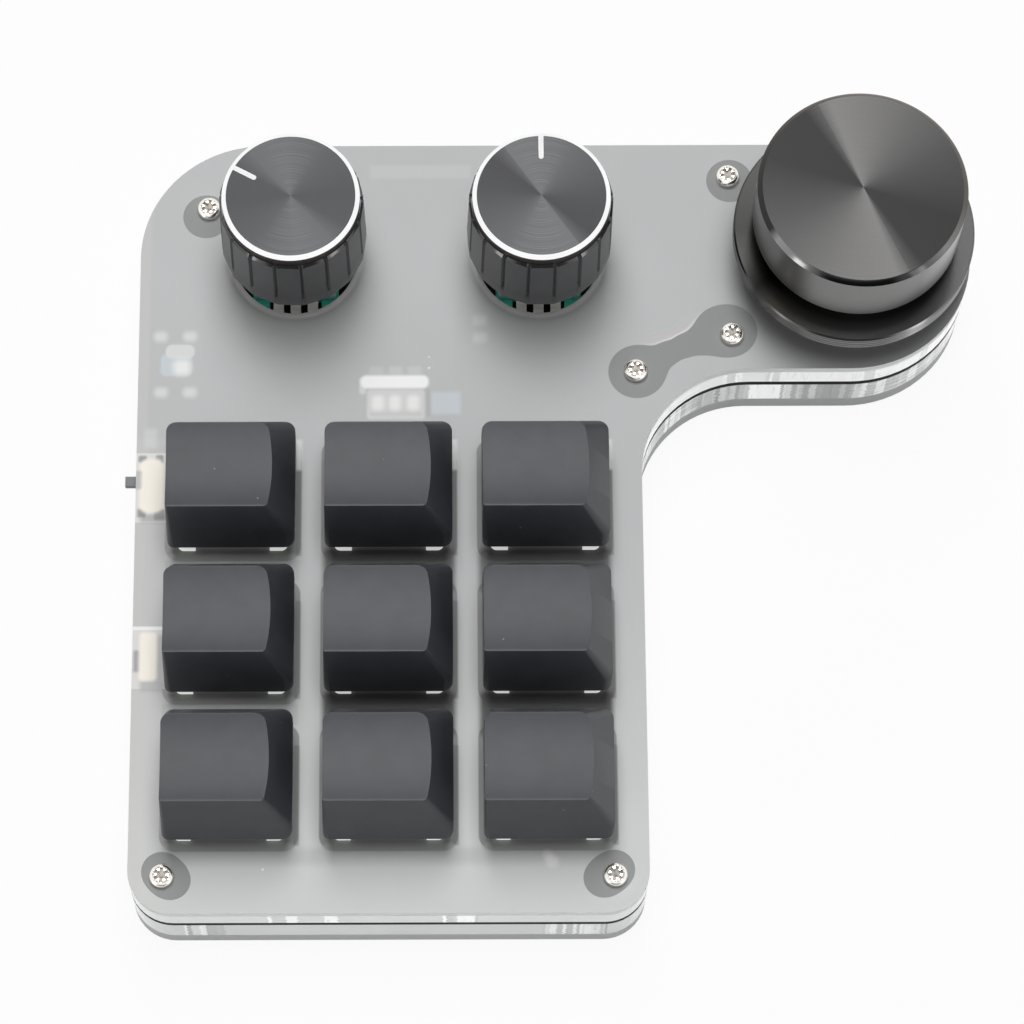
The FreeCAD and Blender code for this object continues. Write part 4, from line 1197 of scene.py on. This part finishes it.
knob_body = shape_knob_body()
knob_disc = shape_knob_disc()
for index, (spun, turn, groove_turn) in enumerate(((spun_1, 151.5, 3.0), (spun_2, 90.0, 5.5))):
    number = str(index + 1)
    x = ENCODER_X[index]
    shell = copy_at(knob_body, "knob_shell_" + number, 0, 0)
    shell.data.transform(Matrix.Rotation(math.radians(groove_turn), 4, "Z"))
    shell.data.transform(Matrix.Translation((x * MM, ENCODER_Y * MM, 0)))
    finish_piece(
        shell,
        (knob_plastic, knob_chamfer),
        "push_" + number,
        "knob_black",
        "knob_body_" + number,
    )
    for polygon in shell.data.polygons:
        if polygon.normal.z > 0.3 and polygon.center.z > (KNOB_SHOULDER_Z - 0.5) * MM:
            polygon.material_index = 1
    face = copy_at(knob_disc, "knob_face_" + number, x, ENCODER_Y)
    finish_piece(
        face,
        (polished_bevel, spun, disc_side),
        "push_" + number,
        "knob_metal",
        "knob_disc_" + number,
    )
    for polygon in face.data.polygons:
        if polygon.normal.z > 0.95:
            polygon.material_index = 1
        elif polygon.center.z < (DISC_TOP_Z - POLISHED_DROP) * MM:
            polygon.material_index = 2
    pointer = shape_pointer(turn)
    pointer.name = "knob_pointer_" + number
    pointer.data.transform(Matrix.Translation((x * MM, ENCODER_Y * MM, 0)))
    finish_piece(pointer, pointer_white, "push_" + number, "knob_black")
bpy.data.objects.remove(knob_body, do_unlink=True)
bpy.data.objects.remove(knob_disc, do_unlink=True)

# Large knob
LARGE_Z = 22.55
FLANGE_RADIUS = 17.37
FLANGE_END_Z = 25.5
WAIST_RADIUS = 12.6
DRUM_Z = 29.2
DRUM_RADIUS = 14.88
LARGE_TOP_Z = 40.2
LARGE_BEVEL = 0.7
LARGE_BORE_RADIUS = 4.3
FLANGE_EDGE = 0.35
# Fine grooves round the flange: heights above its underside, half width and depth
FLANGE_GROOVES = (0.9, 1.55, 2.25)
FLANGE_GROOVE_HALF = 0.15
FLANGE_GROOVE_DEPTH = 0.18


def shape_large_knob():
    profile = [
        (FLANGE_RADIUS - FLANGE_EDGE, LARGE_Z),
        (FLANGE_RADIUS, LARGE_Z + FLANGE_EDGE),
    ]
    for groove_z in FLANGE_GROOVES:
        profile += [
            (FLANGE_RADIUS, LARGE_Z + groove_z - FLANGE_GROOVE_HALF),
            (FLANGE_RADIUS - FLANGE_GROOVE_DEPTH, LARGE_Z + groove_z),
            (FLANGE_RADIUS, LARGE_Z + groove_z + FLANGE_GROOVE_HALF),
        ]
    profile += [
        (FLANGE_RADIUS, FLANGE_END_Z - 0.25),
        (FLANGE_RADIUS - 0.25, FLANGE_END_Z),
        (WAIST_RADIUS + 0.5, FLANGE_END_Z),
        (WAIST_RADIUS, FLANGE_END_Z + 0.5),
        (WAIST_RADIUS, DRUM_Z),
        (DRUM_RADIUS - 0.35, DRUM_Z),
        (DRUM_RADIUS, DRUM_Z + 0.35),
        (DRUM_RADIUS, LARGE_TOP_Z - LARGE_BEVEL),
        (DRUM_RADIUS - LARGE_BEVEL + 0.12, LARGE_TOP_Z - 0.08),
        (DRUM_RADIUS - LARGE_BEVEL, LARGE_TOP_Z),
        (0.01, LARGE_TOP_Z),
    ]
    knob = turned(profile, 192, "large_knob_shell")
    pick_faces(knob, lambda centre, normal: normal.z < -0.9 and centre.z < (LARGE_Z + 0.1) * MM)
    bpy.ops.mesh.inset(thickness=(FLANGE_RADIUS - FLANGE_EDGE - LARGE_BORE_RADIUS) * MM)
    push(HOLLOW_DEPTH)
    object_mode()
    smooth(knob, 25.0)
    return knob


large_knob = shape_large_knob()
large_knob.data.transform(Matrix.Translation((ENCODER_X[2] * MM, ENCODER_Y * MM, 0)))
finish_piece(
    large_knob,
    (anodised_black, spun_3, fine_edge, anodised_flange, anodised_bevel),
    "push_3",
    "anodised_black",
    "large_knob",
)
for polygon in large_knob.data.polygons:
    middle = polygon.center
    radius = math.hypot(middle.x - ENCODER_X[2] * MM, middle.y - ENCODER_Y * MM)
    if polygon.normal.z > 0.95 and middle.z > (LARGE_TOP_Z - 0.01) * MM:
        polygon.material_index = 1
    elif middle.z > (LARGE_TOP_Z - LARGE_BEVEL) * MM:
        polygon.material_index = 4
    elif 0.3 < polygon.normal.z < 0.9 and radius > (FLANGE_RADIUS - 0.3) * MM:
        polygon.material_index = 2
    elif middle.z < (DRUM_Z + 0.1) * MM:
        polygon.material_index = 3

# Switch pins: coned below the board, and low enough at the top to clear a pressed stem
PIN_RADIUS = 0.55
PIN_LOW_Z = 8.6
PIN_TOP_Z = 12.2
PIN_OFFSETS = ((-3.81, 2.54), (2.54, 4.9))

pin = turned(
    (
        (PIN_RADIUS - 0.3, PIN_LOW_Z),
        (PIN_RADIUS, PIN_LOW_Z + 0.6),
        (PIN_RADIUS, PIN_TOP_Z - 0.12),
        (PIN_RADIUS - 0.12, PIN_TOP_Z),
    ),
    24,
    "pin_shape",
)
smooth(pin)
pins = []
for label, key_x, key_y in KEY_PLACES:
    for offset_x, offset_y in PIN_OFFSETS:
        pins.append(copy_at(pin, "pin", key_x + offset_x, key_y + offset_y))
bpy.data.objects.remove(pin, do_unlink=True)
pins = joined(pins, "switch_pins")
finish_piece(pins, contact_metal, "case", "contact_metal", "switch_contacts")

# Case screws: pan head with a six-lobed recess
SCREW_HEAD_RADIUS = 1.75
SCREW_HEAD_HEIGHT = 1.15
LOBE_CIRCLE = 0.66
LOBE_RADIUS = 0.3
RECESS_Z = DECK_Z + 0.5
PIN_IN_RECESS = 0.27
SHANK_RADIUS = 1.0
SHANK_LOW_Z = 1.5
# Each screw is turned by its own angle, as screws end up
SCREW_FIRST_TURN = 20
SCREW_TURN_STEP = 47


def shape_screw():
    head = turned(
        (
            (SCREW_HEAD_RADIUS - 0.12, DECK_Z),
            (SCREW_HEAD_RADIUS, DECK_Z + 0.1),
            (SCREW_HEAD_RADIUS, DECK_Z + 0.5),
            (SCREW_HEAD_RADIUS - 0.06, DECK_Z + 0.72),
            (SCREW_HEAD_RADIUS - 0.22, DECK_Z + 0.95),
            (SCREW_HEAD_RADIUS - 0.5, DECK_Z + 1.1),
            (SCREW_HEAD_RADIUS - 0.8, DECK_Z + SCREW_HEAD_HEIGHT),
        ),
        48,
        "screw_shape",
    )
    core = bar(0, 0, RECESS_Z, LOBE_CIRCLE, 2.0, 36, "recess_core")
    carve(head, core)
    for index in range(6):
        turn = index * math.pi / 3
        x = (LOBE_CIRCLE + 0.5 * LOBE_RADIUS) * math.cos(turn)
        y = (LOBE_CIRCLE + 0.5 * LOBE_RADIUS) * math.sin(turn)
        carve(head, bar(x, y, RECESS_Z, LOBE_RADIUS, 2.0, 16, "recess_lobe"))
    middle_pin = turned(
        (
            (PIN_IN_RECESS, RECESS_Z - 0.1),
            (PIN_IN_RECESS, DECK_Z + 0.7),
            (PIN_IN_RECESS - 0.12, DECK_Z + 0.8),
        ),
        20,
        "middle_pin",
    )
    shank = bar(0, 0, SHANK_LOW_Z, SHANK_RADIUS, DECK_Z - SHANK_LOW_Z, 24, "shank")
    made = joined([head, middle_pin, shank], "screw_shape")
    smooth(made, 40.0)
    return made


screw = shape_screw()
screws = []
for index, (x, y) in enumerate(SCREW_PLACES):
    one = copy_at(screw, "screw", 0, 0)
    turn = math.radians(SCREW_FIRST_TURN + SCREW_TURN_STEP * index)
    one.data.transform(Matrix.Rotation(turn, 4, "Z"))
    one.data.transform(Matrix.Translation((x * MM, y * MM, 0)))
    screws.append(one)
bpy.data.objects.remove(screw, do_unlink=True)
screws = joined(screws, "screw_set")
finish_piece(screws, (nickel, recess_painted_shade), "case", "nickel", "case_screws")
# Faces in each recess get the painted shade
for polygon in screws.data.polygons:
    near = min(
        math.hypot(polygon.center.x - x * MM, polygon.center.y - y * MM) for x, y in SCREW_PLACES
    )
    in_recess = RECESS_Z - 0.05 < polygon.center.z / MM < DECK_Z + SCREW_HEAD_HEIGHT - 0.02
    if in_recess and near < (LOBE_CIRCLE + 1.6 * LOBE_RADIUS) * MM:
        polygon.material_index = 1


# Floor, backdrop, light and camera
def build_stage():
    nothing_selected()
    bpy.ops.mesh.primitive_plane_add(size=6.0, location=(0, 0, 0))
    floor = bpy.context.active_object
    floor.name = "floor"
    settle(floor)
    made = Finish("floor_white", (0.88, 0.88, 0.88), 0.9)
    rays = made.node("LightPath")
    glow = made.node("Emission", Strength=1.0)
    glow.inputs["Color"].default_value = (1, 1, 1, 1)
    seen = made.math("MAXIMUM", rays.outputs["Is Camera Ray"], rays.outputs["Is Transmission Ray"])
    seen = made.math("MAXIMUM", seen, rays.outputs["Is Glossy Ray"])
    mix = made.node("MixShader")
    made.link(made.math("MULTIPLY", seen, 0.93), mix.inputs["Fac"])
    made.link(made.shader.outputs["BSDF"], mix.inputs[1])
    made.link(glow.outputs["Emission"], mix.inputs[2])
    out = made.nodes["Material Output"]
    made.link(mix.outputs["Shader"], out.inputs["Surface"])
    floor.data.materials.append(made.material)


def build_world():
    """White all round, with a darker zone in front where the photographer stands."""
    world = bpy.data.worlds.new("studio")
    bpy.context.scene.world = world
    world.use_nodes = True
    nodes = world.node_tree.nodes
    links = world.node_tree.links

    def math_node(operation, first, second):
        made = nodes.new("ShaderNodeMath")
        made.operation = operation
        for socket, value in zip(made.inputs, (first, second)):
            if isinstance(value, float):
                socket.default_value = value
            else:
                links.new(value, socket)
        return made.outputs["Value"]

    def level_node(value, low, high):
        made = nodes.new("ShaderNodeMapRange")
        made.interpolation_type = "SMOOTHSTEP"
        made.inputs["From Min"].default_value = low
        made.inputs["From Max"].default_value = high
        links.new(value, made.inputs["Value"])
        return made.outputs["Result"]

    soft = nodes["Background"]
    soft.inputs["Strength"].default_value = 1.0
    white = nodes.new("ShaderNodeBackground")
    white.inputs["Color"].default_value = (1, 1, 1, 1)
    white.inputs["Strength"].default_value = 1.0
    mirrored = nodes.new("ShaderNodeBackground")
    mirrored.inputs["Strength"].default_value = 1.0
    rays = nodes.new("ShaderNodeLightPath")
    split = nodes.new("ShaderNodeSeparateXYZ")
    place = nodes.new("ShaderNodeTexCoord")
    links.new(place.outputs["Generated"], split.inputs["Vector"])
    sideways = math_node("ABSOLUTE", split.outputs["X"], 0.0)
    forward = math_node("MULTIPLY", split.outputs["Y"], -0.62)
    ahead = level_node(math_node("SUBTRACT", forward, sideways), -0.06, 0.12)
    above = level_node(split.outputs["Z"], 0.10, 0.22)
    below = level_node(split.outputs["Z"], 0.60, 0.46)
    zone = math_node("MULTIPLY", ahead, math_node("MULTIPLY", above, below))
    tone = nodes.new("ShaderNodeValToRGB")
    tone.color_ramp.elements[0].color = (1, 1, 1, 1)
    tone.color_ramp.elements[1].color = (0.08, 0.08, 0.08, 1)
    links.new(zone, tone.inputs["Fac"])
    links.new(tone.outputs["Color"], mirrored.inputs["Color"])
    height = nodes.new("ShaderNodeValToRGB")
    height.color_ramp.elements[0].color = (1.2, 1.2, 1.2, 1)
    height.color_ramp.elements[1].position = 0.5
    height.color_ramp.elements[1].color = (0.10, 0.10, 0.10, 1)
    links.new(split.outputs["Z"], height.inputs["Fac"])
    links.new(height.outputs["Color"], soft.inputs["Color"])
    by_glossy = nodes.new("ShaderNodeMixShader")
    links.new(rays.outputs["Is Glossy Ray"], by_glossy.inputs["Fac"])
    links.new(soft.outputs["Background"], by_glossy.inputs[1])
    links.new(mirrored.outputs["Background"], by_glossy.inputs[2])
    seen = math_node("MAXIMUM", rays.outputs["Is Camera Ray"], rays.outputs["Is Transmission Ray"])
    mix = nodes.new("ShaderNodeMixShader")
    links.new(seen, mix.inputs["Fac"])
    links.new(by_glossy.outputs["Shader"], mix.inputs[1])
    links.new(white.outputs["Background"], mix.inputs[2])
    links.new(mix.outputs["Shader"], nodes["World Output"].inputs["Surface"])


def soft_lamp(name, place, aim, size, power):
    data = bpy.data.lights.new(name, "AREA")
    data.shape = "RECTANGLE"
    data.size = size[0]
    data.size_y = size[1]
    data.energy = power
    lamp = bpy.data.objects.new(name, data)
    lamp.location = place
    lamp.rotation_euler = (Vector(aim) - Vector(place)).to_track_quat("-Z", "Y").to_euler()
    bpy.context.scene.collection.objects.link(lamp)


# The photograph's camera, fitted to the edges of the keypad: metres and degrees
CAMERA_PLACE = (-0.01607, -0.20661, 0.59321)
CAMERA_HEIGHT_ANGLE = 70.237
CAMERA_ROLL = -0.179
CAMERA_LENS = 150.74
CAMERA_SHIFT_X = 0.0701


def build_camera():
    data = bpy.data.cameras.new("photo_camera")
    data.sensor_width = 36.0
    data.lens = CAMERA_LENS
    data.shift_x = CAMERA_SHIFT_X
    data.clip_start = 0.01
    data.clip_end = 20.0
    camera = bpy.data.objects.new("photo_camera", data)
    camera.location = CAMERA_PLACE
    tilt = Euler((math.radians(90 - CAMERA_HEIGHT_ANGLE), 0, 0)).to_matrix()
    roll = Euler((0, 0, math.radians(CAMERA_ROLL))).to_matrix()
    camera.rotation_euler = (tilt @ roll).to_euler()
    bpy.context.scene.collection.objects.link(camera)
    bpy.context.scene.camera = camera


build_stage()
build_world()
soft_lamp("long_softbox", (-0.03, 0.24, 0.97), (0, 0, 0), (0.40, 0.90), 7.2)
soft_lamp("left_front_window", (-0.62, -0.50, 0.30), (0, 0, 0), (0.15, 0.3), 0.5)
soft_lamp("right_front_window", (0.62, -0.50, 0.30), (0, 0, 0), (0.15, 0.3), 0.4)
build_camera()
bpy.context.scene.view_settings.view_transform = "Standard"
